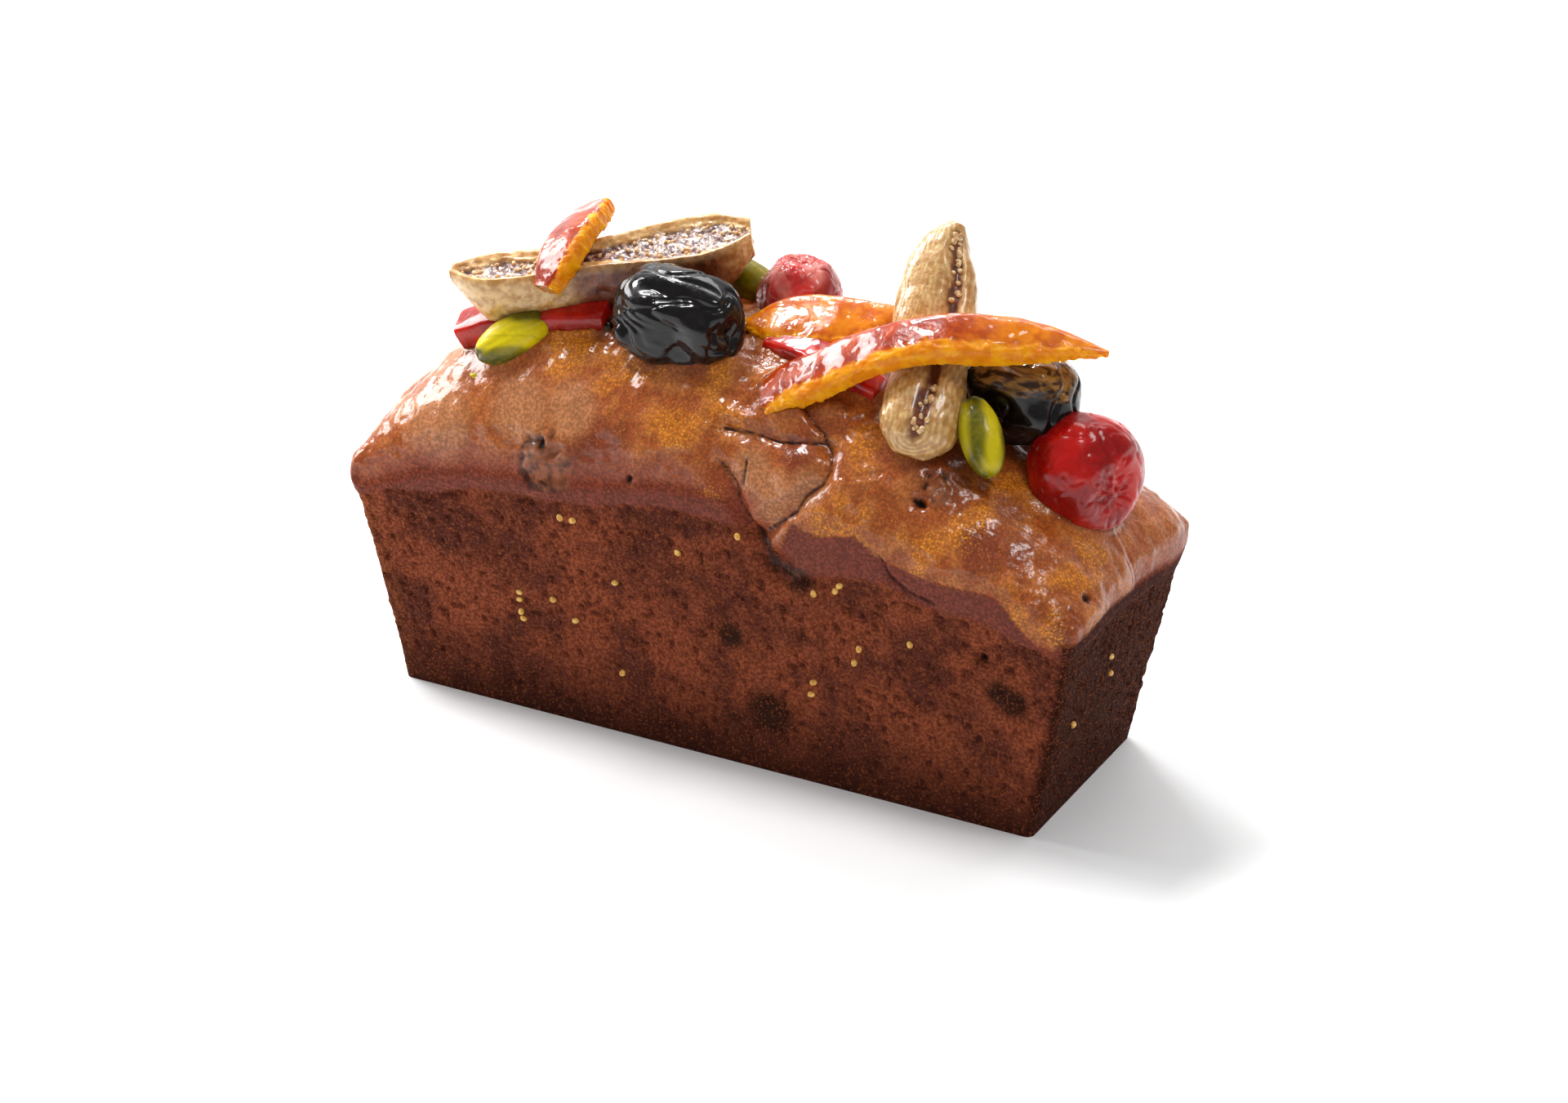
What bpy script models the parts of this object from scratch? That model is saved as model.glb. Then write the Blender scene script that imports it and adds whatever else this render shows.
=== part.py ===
"""Fruitcake loaf with candied fruit on top. Blender 4.5, metres, +Z up.

X runs along the loaf, Y across it towards the back, and the origin is at the middle of the base.
The sizes below are in millimetres; MM turns them into metres when a mesh is made.
"""
import math
import random

import bmesh
import bpy
from mathutils import Vector, noise

MM = 0.001
GAP = 0.3                       # left between neighbouring pieces

# Loaf: a tin-baked base with drafted sides, and a dome that bulges over the rim
BASE_LENGTH = 136.4
BASE_WIDTH = 45.4
TIN_RIM = 38.0                  # height of the tin's rim
END_DRAFT = 0.192               # outward run of the end walls for each mm of height
SIDE_DRAFT = 0.09
LIP_LENGTH = 1.4                # how far the dome stands out past the rim, at the ends
LIP_WIDTH = 0.7                 # and at the sides
LIP_RISE = 5.0
CORNER = 1.6                    # radius of the upright corners
GLAZE_END = 39.5                # height of the glaze's lower edge, at the ends
GLAZE_MIDDLE = 53.0             # and at the middle of the long sides
SHOULDER_END = 46.5             # where the wall turns into the dome
SHOULDER_MIDDLE = 54.5
CREST = 81.3
LEFT_FALL = 2.74                # how late the crest falls towards each end
RIGHT_FALL = 1.5
END_ROUND = 0.60
SECTION_FLAT = 2.7
SECTION_ROUND = 0.47
LENGTH_CELLS = 56
WIDTH_CELLS = 20
WALL_LEVELS = (-0.6, 0.99, 0.8, 0.52, 0.25, 0.0)   # first a step above the glaze edge, then shares of it

# Relief of the loaf
UNDULATION = 0.7
UNDULATION_SCALE = 17.0
MAIN_CRACK = ((17.8, -16.2, 75.1), (24.3, -20.4, 70.3), (25.4, -23.9, 65.2), (21.2, -25.7, 60.9),
              (13.0, -26.6, 52.6))
SIDE_CRACK = ((3.0, -22.5, 70.0), (14.0, -22.1, 69.8), (24.1, -20.8, 69.9))
PLATE_CRACK = ((3.0, -25.0, 64.0), (6.7, -26.2, 60.0), (11.8, -26.6, 52.0))
CRACK_WIDTH = 1.9
CRACK_DEPTH = 1.3
BUMPS = (                       # centre, radius, height: fruit under the glaze and lobes of the crust
    ((-32.5, -26.0, 57.0), 6.0, 1.3),
    ((31.0, -26.0, 56.5), 9.0, 1.2),
    ((66.0, -26.0, 48.0), 5.0, 1.2),
    ((54.0, -26.2, 50.5), 7.0, 0.9),
    ((-8.0, -24.5, 64.5), 8.0, 0.8),
    ((-55.0, -22.0, 60.0), 8.0, 0.7),
    ((45.0, 24.0, 60.0), 8.0, 1.0),
    ((-20.0, 25.0, 60.0), 9.0, 1.0),
    ((76.0, 18.0, 44.0), 4.0, 1.2),
)
HOLLOWS = (
    ((16.6, -26.6, 46.5), 3.6, 2.2),
    ((58.6, -25.8, 36.9), 1.8, 1.2),
    ((43.0, -21.6, 64.2), 2.2, 1.5),
)

# Fig seeds baked into the walls: places on the front, along X and up
SEED_LENGTH = 1.5
SEED_WIDTH = 1.2
SEED_STAND = 0.25               # how far a seed's middle lies outside the wall
FRONT_SEEDS = (
    (-40.2, 26.6), (-40.3, 24.9), (-39.9, 22.4), (-39.5, 20.9), (-32.6, 26.9), (-27.9, 23.3), (-29.7, 46.0),
    (-27.0, 46.0), (-18.5, 34.3), (-18.1, 14.0), (8.4, 51.0), (-4.5, 44.4), (24.2, 42.6), (28.6, 44.2),
    (29.6, 45.6), (43.9, 36.5), (33.3, 32.8), (32.2, 29.5), (23.4, 22.8), (22.9, 20.1),
)
BACK_SEEDS = 10
END_SEEDS = 3
BACK_SEED_REACH = 58.0          # how far from the middle they lie, along the back
END_SEED_REACH = 15.0           # and across the ends
SEED_HEIGHTS = (10.0, 34.0)
SEED_DRAW = 11

# Candied fruit: middles and half sizes, or spines with the widths and depths read along them
UP = (0.0, 0.0, 1.0)
CHERRY_CELLS = (22, 13)         # cells round and from pole to pole, or along and round
PRUNE_CELLS = (26, 15)
PISTACHIO_CELLS = (14, 10)
LEFT_FIG_CELLS = (20, 18)
RIGHT_FIG_CELLS = (20, 20)
CHERRIES = (                    # name, middle, half sizes, where the dimple points, shift of the creases
    ("cherry_right", (66.4, 0.2, 65.5), (12.5, 11.3, 9.9), (0.86, -0.50, -0.05), 0.0),
    ("cherry_back", (1.8, 10.5, 83.0), (8.2, 8.0, 9.2), (0.1, 0.2, 1.0), 5.0),
)
DIMPLE_DEPTH = 0.15             # as shares of the cherry's size
DIMPLE_SIZE = 0.10
CHERRY_CREASE = 0.05
PRUNES = (                      # name, middle, half sizes, shift of the folds
    ("prune_right", (52.6, 1.6, 78.4), (10.8, 8.2, 9.2), 2.0),
    ("prune_left", (-12.4, -12.0, 85.2), (13.0, 8.2, 9.3), 7.0),
)
PRUNE_FOLDS = {                 # creases in the skin: path of directions, depth and width
    "prune_right": (),
    "prune_left": (
        (((-0.29, -0.57, 0.77), (0.24, -0.66, 0.71), (0.36, -0.85, 0.40), (0.25, -0.96, 0.05),
          (0.31, -0.80, -0.51)), 0.20, 0.24),
        (((0.59, -0.64, 0.49), (0.79, -0.61, 0.12), (0.96, -0.26, -0.06)), 0.12, 0.18),
    ),
}
PRUNE_SWELL = 0.10              # broad unevenness of a prune's skin
PRUNE_SQUARENESS = 2.6          # 2 is an ellipsoid, higher is boxier
PRUNE_CREASE = 0.05             # depth of its other creases
PRUNE_CREASE_WIDTH = 0.10
PISTACHIO_HALF = (4.2, 3.9, 8.0)
PISTACHIOS = (                  # name, middle, direction of the long axis
    ("pistachio_left", (-45.7, -16.5, 75.9), (9.7, 8.0, 6.4)),
    ("pistachio_back", (-10.6, 13.2, 83.2), (12.3, -1.0, -3.6)),
    ("pistachio_right", (51.4, -13.4, 75.4), (-8.0, 7.0, 11.3)),
)
SEAM_DEPTH = 0.07

LEFT_FIG_SPINE = ((-59.4, -15.5, 86.1), (-46.4, -11.5, 88.0), (-32.4, -5.0, 91.0), (-19.6, 1.8, 93.7),
                  (-7.8, 8.2, 96.2))
LEFT_FIG_FACING = (0.08, -0.1, 1.0)
LEFT_FIG_WIDTH = (3.0, 10.5, 10.0, 9.5, 11.5, 14.5, 14.0, 6.0)
LEFT_FIG_DEPTH = (2.0, 10.5, 12.0, 12.5, 12.5, 12.0, 10.5, 5.0)
FIG_RIM_HEIGHT = 0.9
FIG_RIM_WIDTH = 1.2
RIGHT_FIG_SPINE = ((39.6, -19.5, 71.5), (39.6, -15.0, 76.5), (37.6, -7.0, 82.5), (34.8, 1.0, 91.0),
                   (33.0, 8.0, 99.3), (34.0, 12.0, 104.6))
RIGHT_FIG_FACING = (0.15, -0.8, 0.6)
RIGHT_FIG_WIDTH = (6.0, 14.5, 15.0, 14.0, 15.6, 14.4, 9.0, 3.0)
RIGHT_FIG_DEPTH = (4.0, 10.0, 11.0, 10.0, 11.0, 11.0, 9.0, 4.0)
SLIT_PLACE = (-0.1, -0.15, -0.3, -0.5, -0.55, -0.45)   # across the front, from the middle (0) to the edge (1)
SLIT_WIDTH = 1.3
SLIT_DEPTH = 1.6

BAR_SHARPNESS = 0.4
BAR_SIDES = 12
SKIN_FACING = (0.0, -0.5, 0.87)     # the way a leaning peel's skin faces
BARS = (                        # name, look, spine, facing, widths, depths, cup, stations
    ("red_slab_left", "red_candy",
     ((-58.3, -11.2, 71.2), (-50.5, -10.6, 75.2), (-41.0, -9.6, 77.8), (-29.0, -8.4, 79.8)),
     (-0.1, -0.3, 1.0), (8.0, 9.0, 9.0, 7.0), (9.0, 9.0, 8.0, 7.0), 0.0, 10),
    ("orange_strip_long", "peel",
     ((9.0, -18.0, 74.6), (13.6, -15.9, 78.6), (18.9, -14.8, 81.6), (26.4, -13.2, 86.3),
      (34.0, -12.0, 89.8), (41.0, -9.2, 91.4), (48.0, -6.0, 91.4), (55.0, -3.0, 91.3),
      (62.0, -0.6, 91.0), (69.2, 2.4, 89.8)),
     SKIN_FACING, (7.4, 9.4, 9.6, 9.2, 9.0, 9.2, 9.6, 8.4, 5.4, 0.8),
     (3.6, 4.4, 4.6, 4.4, 4.4, 4.8, 5.2, 4.4, 3.0, 0.8), 0.4, 24),
    ("orange_strip_middle", "peel",
     ((-2.4, -4.0, 82.8), (3.0, -3.5, 84.0), (9.5, -2.0, 84.8), (16.0, 0.0, 85.6), (22.5, 2.5, 86.2),
      (26.5, 4.0, 86.6)),
     SKIN_FACING, (2.0, 9.0, 12.5, 11.0, 8.0, 6.0), (2.0, 3.8, 4.0, 4.0, 3.6, 3.0), 0.6, 14),
    ("orange_strip_short", "peel",
     ((-38.4, -16.5, 87.3), (-38.0, -12.8, 91.3), (-38.4, -7.0, 94.1), (-39.0, 0.0, 95.1),
      (-40.2, 6.2, 94.9)),
     (-0.35, -0.35, 0.87), (5.5, 8.6, 9.0, 8.8, 7.6), (3.6, 4.6, 4.6, 4.4, 3.4), 0.3, 12),
    ("red_piece_middle", "red_candy",
     ((4.5, -6.0, 80.9), (13.0, -7.7, 80.9), (22.0, -8.9, 79.4), (28.5, -9.2, 77.8)),
     (0.0, -0.2, 1.0), (6.0, 7.0, 7.0, 5.0), (5.0, 6.0, 6.0, 4.0), 0.0, 8),
)

COLOURS = {                     # colour and roughness
    "cake": ((0.20, 0.055, 0.020), 0.65),
    "fig": ((0.62, 0.42, 0.20), 0.35),
    "peel": ((0.78, 0.22, 0.02), 0.15),
    "cherry": ((0.50, 0.01, 0.01), 0.08),
    "red_candy": ((0.62, 0.03, 0.02), 0.12),
    "prune": ((0.012, 0.009, 0.010), 0.12),
    "pistachio": ((0.30, 0.36, 0.04), 0.30),
}


def smooth_step(value):
    value = min(max(value, 0.0), 1.0)
    return value * value * (3.0 - 2.0 * value)


def half_length(z):
    rim_part = LIP_LENGTH * min(max((z - TIN_RIM) / LIP_RISE, 0.0), 1.0)
    return BASE_LENGTH / 2 + END_DRAFT * min(z, TIN_RIM) + rim_part


def half_width(z):
    rim_part = LIP_WIDTH * min(max((z - TIN_RIM) / LIP_RISE, 0.0), 1.0)
    return BASE_WIDTH / 2 + SIDE_DRAFT * min(z, TIN_RIM) + rim_part


def arched(end, middle, s):
    """Height that is lowest at the ends (s = -1 and 1) and highest at the middle."""
    return end + (middle - end) * (1.0 - s * s)


def dome_height(s, t):
    """Height of the dome at s along the length and t across the width, both from -1 to 1."""
    shoulder = arched(SHOULDER_END, SHOULDER_MIDDLE, s)
    fall = LEFT_FALL if s < 0 else RIGHT_FALL
    crest = SHOULDER_END + (CREST - SHOULDER_END) * max(1.0 - abs(s) ** fall, 0.0) ** END_ROUND
    return shoulder + (crest - shoulder) * max(1.0 - abs(t) ** SECTION_FLAT, 0.0) ** SECTION_ROUND


def round_corner(x, y, length, width):
    """Pull a point of a rectangle's corner square onto the corner's arc."""
    dx = abs(x) - (length - CORNER)
    dy = abs(y) - (width - CORNER)
    if dx <= 0.0 or dy <= 0.0:
        return x, y
    pull = max(dx, dy) / math.hypot(dx, dy)
    return (math.copysign(length - CORNER + dx * pull, x),
            math.copysign(width - CORNER + dy * pull, y))


def distance_to_path(point, path):
    best = 1e9
    for start, end in zip(path, path[1:]):
        a, b = Vector(start), Vector(end)
        along = min(max((point - a).dot(b - a) / (b - a).length_squared, 0.0), 1.0)
        best = min(best, (point - a - (b - a) * along).length)
    return best


def relief(point):
    """How far the loaf's skin stands out from its plain form."""
    height = UNDULATION * noise.noise(point / UNDULATION_SCALE)
    for path in (MAIN_CRACK, SIDE_CRACK, PLATE_CRACK):
        height -= CRACK_DEPTH * math.exp(-(distance_to_path(point, path) / CRACK_WIDTH) ** 2)
    for centre, radius, rise in BUMPS:
        height += rise * math.exp(-((point - Vector(centre)).length / radius) ** 2)
    for centre, radius, depth in HOLLOWS:
        height -= depth * math.exp(-((point - Vector(centre)).length / radius) ** 2)
    return height


def loaf_point(s, t, level):
    """A point of the plain loaf: level 0 is the dome, the others step down the wall."""
    if level == 0:
        z = dome_height(s, t)
        plan_z = SHOULDER_END
    else:
        edge = arched(GLAZE_END, GLAZE_MIDDLE, s)
        share = WALL_LEVELS[level - 1]
        z = edge - share if share < 0 else edge * share
        plan_z = z
    length, width = half_length(plan_z), half_width(plan_z)
    x, y = round_corner(s * length, t * width, length, width)
    return Vector((x, y, z))


def new_material(name, colour, roughness, metallic=0.0):
    material = bpy.data.materials.new(name)
    material.use_nodes = True
    shader = material.node_tree.nodes["Principled BSDF"]
    shader.inputs["Base Color"].default_value = (*colour, 1.0)
    shader.inputs["Roughness"].default_value = roughness
    shader.inputs["Metallic"].default_value = metallic
    material.diffuse_color = (*colour, 1.0)
    return material


def new_object(name, bm, collection, material=None):
    """Turn a bmesh into an object and shade it smooth."""
    bmesh.ops.recalc_face_normals(bm, faces=bm.faces)
    mesh = bpy.data.meshes.new(name)
    bm.to_mesh(mesh)
    bm.free()
    mesh.shade_smooth()
    mesh.set_sharp_from_angle(angle=math.radians(50))
    if material:
        mesh.materials.append(material)
    thing = bpy.data.objects.new(name, mesh)
    collection.objects.link(thing)
    return thing


def make_loaf(collection, material):
    """A grid for the dome, its border extruded down the walls, and one flat face for the base."""
    bm = bmesh.new()
    bmesh.ops.create_grid(bm, x_segments=LENGTH_CELLS, y_segments=WIDTH_CELLS, size=1.0)
    border = [edge for edge in bm.edges if edge.is_boundary]
    for _ in WALL_LEVELS:
        grown = bmesh.ops.extrude_edge_only(bm, edges=border)["geom"]
        corners = [item for item in grown if isinstance(item, bmesh.types.BMVert)]
        bmesh.ops.translate(bm, verts=corners, vec=(0.0, 0.0, -1.0))
        border = [item for item in grown if isinstance(item, bmesh.types.BMEdge) and item.is_boundary]
    bmesh.ops.contextual_create(bm, geom=border)
    for vert in bm.verts:
        u, v, level = vert.co.x, vert.co.y, round(-vert.co.z)
        s = 0.45 * u + 0.55 * math.sin(u * math.pi / 2)
        t = 0.35 * v + 0.65 * math.sin(v * math.pi / 2)
        vert.co = loaf_point(s, t, level)
    bmesh.ops.recalc_face_normals(bm, faces=bm.faces)
    bm.normal_update()
    moves = []
    for vert in bm.verts:
        fade = smooth_step(vert.co.z / 6.0)
        moves.append((vert, vert.normal * relief(vert.co) * fade))
    for vert, move in moves:
        vert.co += move
    for vert in bm.verts:
        vert.co *= MM
    return new_object("cake_loaf", bm, collection, material)


def seed_spots(loaf):
    """Where seeds show, as (middle of the seed, outward direction)."""
    draw = random.Random(SEED_DRAW)
    looks = [(Vector((x, -BASE_WIDTH, z)), Vector((0, -1, 0))) for x, z in FRONT_SEEDS]
    for _ in range(BACK_SEEDS):
        x = draw.uniform(-BACK_SEED_REACH, BACK_SEED_REACH)
        looks.append((Vector((x, BASE_WIDTH, draw.uniform(*SEED_HEIGHTS))), Vector((0, 1, 0))))
    for side in (-1, 1):
        for _ in range(END_SEEDS):
            y = draw.uniform(-END_SEED_REACH, END_SEED_REACH)
            looks.append((Vector((side * BASE_LENGTH, y, draw.uniform(*SEED_HEIGHTS))), Vector((side, 0, 0))))
    spots = []
    for start, outward in looks:
        _, wall, _, _ = loaf.ray_cast(start * MM, -outward)
        spots.append((wall / MM + outward * SEED_STAND, outward))
    return spots


def add_seeds(loaf):
    """Fuse the seeds to the loaf's walls with one Boolean union."""
    draw = random.Random(SEED_DRAW)
    seeds = bpy.data.collections.new("seeds")
    bpy.context.scene.collection.children.link(seeds)
    for spot, outward in seed_spots(loaf):
        bm = bmesh.new()
        bmesh.ops.create_icosphere(bm, subdivisions=1, radius=0.5)
        lean = draw.uniform(0, math.pi)
        across = outward.cross(Vector((0, 0, 1)))
        long_axis = across * math.sin(lean) + Vector((0, 0, 1)) * math.cos(lean)
        for vert in bm.verts:
            stretched = vert.co * SEED_WIDTH
            stretched += long_axis * vert.co.dot(long_axis) * (SEED_LENGTH - SEED_WIDTH)
            vert.co = (spot + stretched) * MM
        new_object("seed", bm, seeds)
    union = loaf.modifiers.new("seeds", "BOOLEAN")
    union.operation = "UNION"
    union.operand_type = "COLLECTION"
    union.collection = seeds
    apply_modifiers(loaf)
    for seed in list(seeds.objects):
        bpy.data.objects.remove(seed)
    bpy.data.collections.remove(seeds)


def apply_modifiers(thing):
    """Keep the evaluated mesh and drop the modifiers."""
    evaluated = thing.evaluated_get(bpy.context.evaluated_depsgraph_get())
    mesh = bpy.data.meshes.new_from_object(evaluated)
    old = thing.data
    thing.modifiers.clear()
    thing.data = mesh
    bpy.data.meshes.remove(old)


def along(values, u):
    """Smooth value at u from 0 to 1, through evenly spaced values."""
    place = u * (len(values) - 1)
    index = min(int(place), len(values) - 2)
    f = place - index
    before = values[max(index - 1, 0)]
    start, end = values[index], values[index + 1]
    after = values[min(index + 2, len(values) - 1)]
    return 0.5 * (2 * start + (end - before) * f + (2 * before - 5 * start + 4 * end - after) * f * f
                  + (3 * start - before - 3 * end + after) * f * f * f)


def spine_frame(spine, up, u):
    """Centre, sideways direction and upward direction of a spine at u."""
    points = [Vector(point) for point in spine]
    centre = along(points, u)
    ahead = along(points, min(u + 0.02, 1.0)) - along(points, max(u - 0.02, 0.0))
    side = Vector(up).cross(ahead).normalized()
    return centre, side, ahead.cross(side).normalized()


def make_loft(name, collection, material, spine, up, section, stations, around):
    """Loft sections along a spine. section(u, angle) gives the offsets sideways and up."""
    bm = bmesh.new()
    rings = []
    for i in range(stations):
        even = i / (stations - 1)
        u = 0.5 * even + 0.25 * (1.0 - math.cos(math.pi * even))
        centre, side, over = spine_frame(spine, up, u)
        ring = []
        for k in range(around):
            across, above = section(u, 2 * math.pi * k / around)
            ring.append(bm.verts.new((centre + side * across + over * above) * MM))
        rings.append(ring)
    for ring, following in zip(rings, rings[1:]):
        for k in range(around):
            step = (k + 1) % around
            bm.faces.new((ring[k], ring[step], following[step], following[k]))
    bm.faces.new(rings[0])
    bm.faces.new(rings[-1])
    return new_object(name, bm, collection, material)


def rounded(angle, half_across, half_above, sharpness):
    """A point of a rounded box section; sharpness 1 is an ellipse, lower is boxier."""
    c, s = math.cos(angle), math.sin(angle)
    return (half_across * math.copysign(abs(c) ** sharpness, c),
            half_above * math.copysign(abs(s) ** sharpness, s))


def bar_section(widths, depths, cup):
    """Section of a cut peel or slab: a rounded bar, cupped across its width by cup."""
    def section(u, angle):
        half = along(widths, u) / 2
        across, above = rounded(angle, half, along(depths, u) / 2, BAR_SHARPNESS)
        return across, above - cup * (across / max(half, 0.1)) ** 2
    return section


def left_fig_section(u, angle):
    """Half a fig, cut face up: a raised rim round a flat top, and a round belly."""
    half = along(LEFT_FIG_WIDTH, u) / 2
    c, s = math.cos(angle), math.sin(angle)
    across = half * math.copysign(abs(c) ** 0.85, c)
    if s >= 0:
        return across, FIG_RIM_HEIGHT * math.exp(-((abs(across) - half) / FIG_RIM_WIDTH) ** 2)
    return across, -along(LEFT_FIG_DEPTH, u) * abs(s) ** 0.8


def right_fig_section(u, angle):
    """A fig folded shut, with a slit of seeds that wanders along its front."""
    half, deep = along(RIGHT_FIG_WIDTH, u) / 2, along(RIGHT_FIG_DEPTH, u) / 2
    across, above = rounded(angle, half, deep, 0.9)
    if above > 0:
        slit_at = along(SLIT_PLACE, u) * half
        slit_open = smooth_step(u / 0.2) * smooth_step((1 - u) / 0.12)
        above -= SLIT_DEPTH * slit_open * math.exp(-((across - slit_at) / SLIT_WIDTH) ** 2)
    return across, above


def make_round_fruit(name, collection, material, middle, half_sizes, pole, skin, segments, rings):
    """A sphere stretched to its half sizes, its skin moved by skin(direction), and its pole turned."""
    bm = bmesh.new()
    bmesh.ops.create_uvsphere(bm, u_segments=segments, v_segments=rings, radius=1.0)
    turn = Vector((0, 0, 1)).rotation_difference(Vector(pole).normalized())
    for vert in bm.verts:
        unit = vert.co.normalized()
        body = Vector([part * half for part, half in zip(unit, half_sizes)]) * skin(unit)
        vert.co = (Vector(middle) + turn @ body) * MM
    return new_object(name, bm, collection, material)


def cherry_skin(shift):
    """Plump, with a dimple at the pole and shallow creases."""
    def skin(unit):
        dimple = DIMPLE_DEPTH * math.exp(-((1 - unit.z) / DIMPLE_SIZE) ** 2)
        crease = CHERRY_CREASE * noise.noise(unit * 1.6 + Vector((shift, 0, 0)))
        return 1.0 - dimple + crease
    return skin


def prune_skin(name, shift):
    """Broad lobes between creases."""
    def skin(unit):
        height = sum(abs(part) ** PRUNE_SQUARENESS for part in unit) ** (-1 / PRUNE_SQUARENESS)
        height += PRUNE_SWELL * noise.noise(unit * 1.5 + Vector((shift, 3.1, 0)))
        wander = noise.noise(unit * 1.25 + Vector((0, shift, 0)))
        height -= PRUNE_CREASE * math.exp(-(wander / PRUNE_CREASE_WIDTH) ** 2)
        for path, depth, width in PRUNE_FOLDS[name]:
            height -= depth * math.exp(-(distance_to_path(unit, path) / width) ** 2)
        return height
    return skin


def pistachio_skin(unit):
    """A kernel with flattened flanks and a seam along it."""
    seam = SEAM_DEPTH * math.exp(-(unit.x / 0.16) ** 2) * (1.0 if unit.y < 0 else 0.3)
    return 1.0 - seam - 0.05 * abs(unit.x * unit.y)


def make_fruit(collection, looks):
    """All the toppings, each ahead of those that are pressed against it."""
    bars = []
    for name, look, spine, facing, widths, depths, cup, stations in BARS:
        bars.append(make_loft(name, collection, looks[look], spine, facing,
                              bar_section(widths, depths, cup), stations, BAR_SIDES))
    slab, *strips = bars
    fruit = [slab]
    for name, middle, half_sizes, pole, shift in CHERRIES:
        fruit.append(make_round_fruit(name, collection, looks["cherry"], middle, half_sizes, pole,
                                      cherry_skin(shift), *CHERRY_CELLS))
    for name, middle, half_sizes, shift in PRUNES:
        fruit.append(make_round_fruit(name, collection, looks["prune"], middle, half_sizes, UP,
                                      prune_skin(name, shift), *PRUNE_CELLS))
    fruit.append(make_loft("fig_half_left", collection, looks["fig"], LEFT_FIG_SPINE, LEFT_FIG_FACING,
                           left_fig_section, *LEFT_FIG_CELLS))
    fruit.append(make_loft("fig_folded_right", collection, looks["fig"], RIGHT_FIG_SPINE, RIGHT_FIG_FACING,
                           right_fig_section, *RIGHT_FIG_CELLS))
    for name, middle, pole in PISTACHIOS:
        fruit.append(make_round_fruit(name, collection, looks["pistachio"], middle, PISTACHIO_HALF, pole,
                                      pistachio_skin, *PISTACHIO_CELLS))
    return fruit + strips


def swollen_copy(thing, collection):
    """A copy that is larger by the gap all round, to cut with."""
    bm = bmesh.new()
    bm.from_mesh(thing.data)
    bm.normal_update()
    for vert in bm.verts:
        vert.co += vert.normal * GAP * MM
    return new_object(thing.name + "_cutter", bm, collection)


def keep_largest_body(thing):
    """Drop the loose scraps that a cut leaves."""
    bm = bmesh.new()
    bm.from_mesh(thing.data)
    left = set(bm.faces)
    bodies = []
    while left:
        body = {left.pop()}
        border = list(body)
        while border:
            face = border.pop()
            near = {other for edge in face.edges for other in edge.link_faces} & left
            left -= near
            body |= near
            border.extend(near)
        bodies.append(body)
    bodies.sort(key=lambda body: sum(face.calc_area() for face in body))
    scraps = [face for body in bodies[:-1] for face in body]
    bmesh.ops.delete(bm, geom=scraps, context="FACES")
    loose = [vert for vert in bm.verts if not vert.link_faces]
    bmesh.ops.delete(bm, geom=loose, context="VERTS")
    bmesh.ops.recalc_face_normals(bm, faces=bm.faces)
    bm.to_mesh(thing.data)
    bm.free()


def boxes_meet(a, b):
    """Whether the boxes round two objects overlap."""
    for axis in range(3):
        a_values = [vert.co[axis] for vert in a.data.vertices]
        b_values = [vert.co[axis] for vert in b.data.vertices]
        if min(a_values) > max(b_values) or min(b_values) > max(a_values):
            return False
    return True


def press_together(loaf, fruit, cutters):
    """Each piece is cut where it would run into the loaf or an earlier piece."""
    placed = [(loaf, swollen_copy(loaf, cutters))]
    for piece in fruit:
        for other, cutter in placed:
            if boxes_meet(piece, cutter):
                cut = piece.modifiers.new("clear_of_" + other.name, "BOOLEAN")
                cut.operation = "DIFFERENCE"
                cut.object = cutter
        apply_modifiers(piece)
        keep_largest_body(piece)
        placed.append((piece, swollen_copy(piece, cutters)))
    for cutter in list(cutters.objects):
        bpy.data.objects.remove(cutter)
    bpy.data.collections.remove(cutters)


def main():
    for old in list(bpy.data.objects):
        bpy.data.objects.remove(old)
    parts = bpy.data.collections.new("fruitcake")
    cutters = bpy.data.collections.new("cutters")
    bpy.context.scene.collection.children.link(parts)
    bpy.context.scene.collection.children.link(cutters)
    looks = {name: new_material(name, colour, roughness) for name, (colour, roughness) in COLOURS.items()}
    loaf = make_loaf(parts, looks["cake"])
    fruit = make_fruit(parts, looks)
    press_together(loaf, fruit, cutters)
    add_seeds(loaf)


main()
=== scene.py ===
"""Looks of the fruitcake: a fine skin with crumb and glaze for the loaf, fine skins for the candied fruit,
a pale floor, studio light and a camera. Sizes are in millimetres; MM turns them into metres.
"""
import math
import random

import bmesh
import bpy
import numpy as np
from mathutils import Matrix, Vector, noise
from mathutils.bvhtree import BVHTree


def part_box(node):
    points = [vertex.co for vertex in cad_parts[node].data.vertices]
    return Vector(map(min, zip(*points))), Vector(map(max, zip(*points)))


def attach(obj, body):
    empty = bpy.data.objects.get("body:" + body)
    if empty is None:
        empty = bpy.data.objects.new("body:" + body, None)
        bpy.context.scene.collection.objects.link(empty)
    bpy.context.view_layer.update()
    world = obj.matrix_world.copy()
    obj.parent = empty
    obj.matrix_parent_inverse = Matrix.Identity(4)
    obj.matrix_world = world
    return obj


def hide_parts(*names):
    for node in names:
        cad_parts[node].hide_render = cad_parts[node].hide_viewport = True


MM = 0.001

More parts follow.
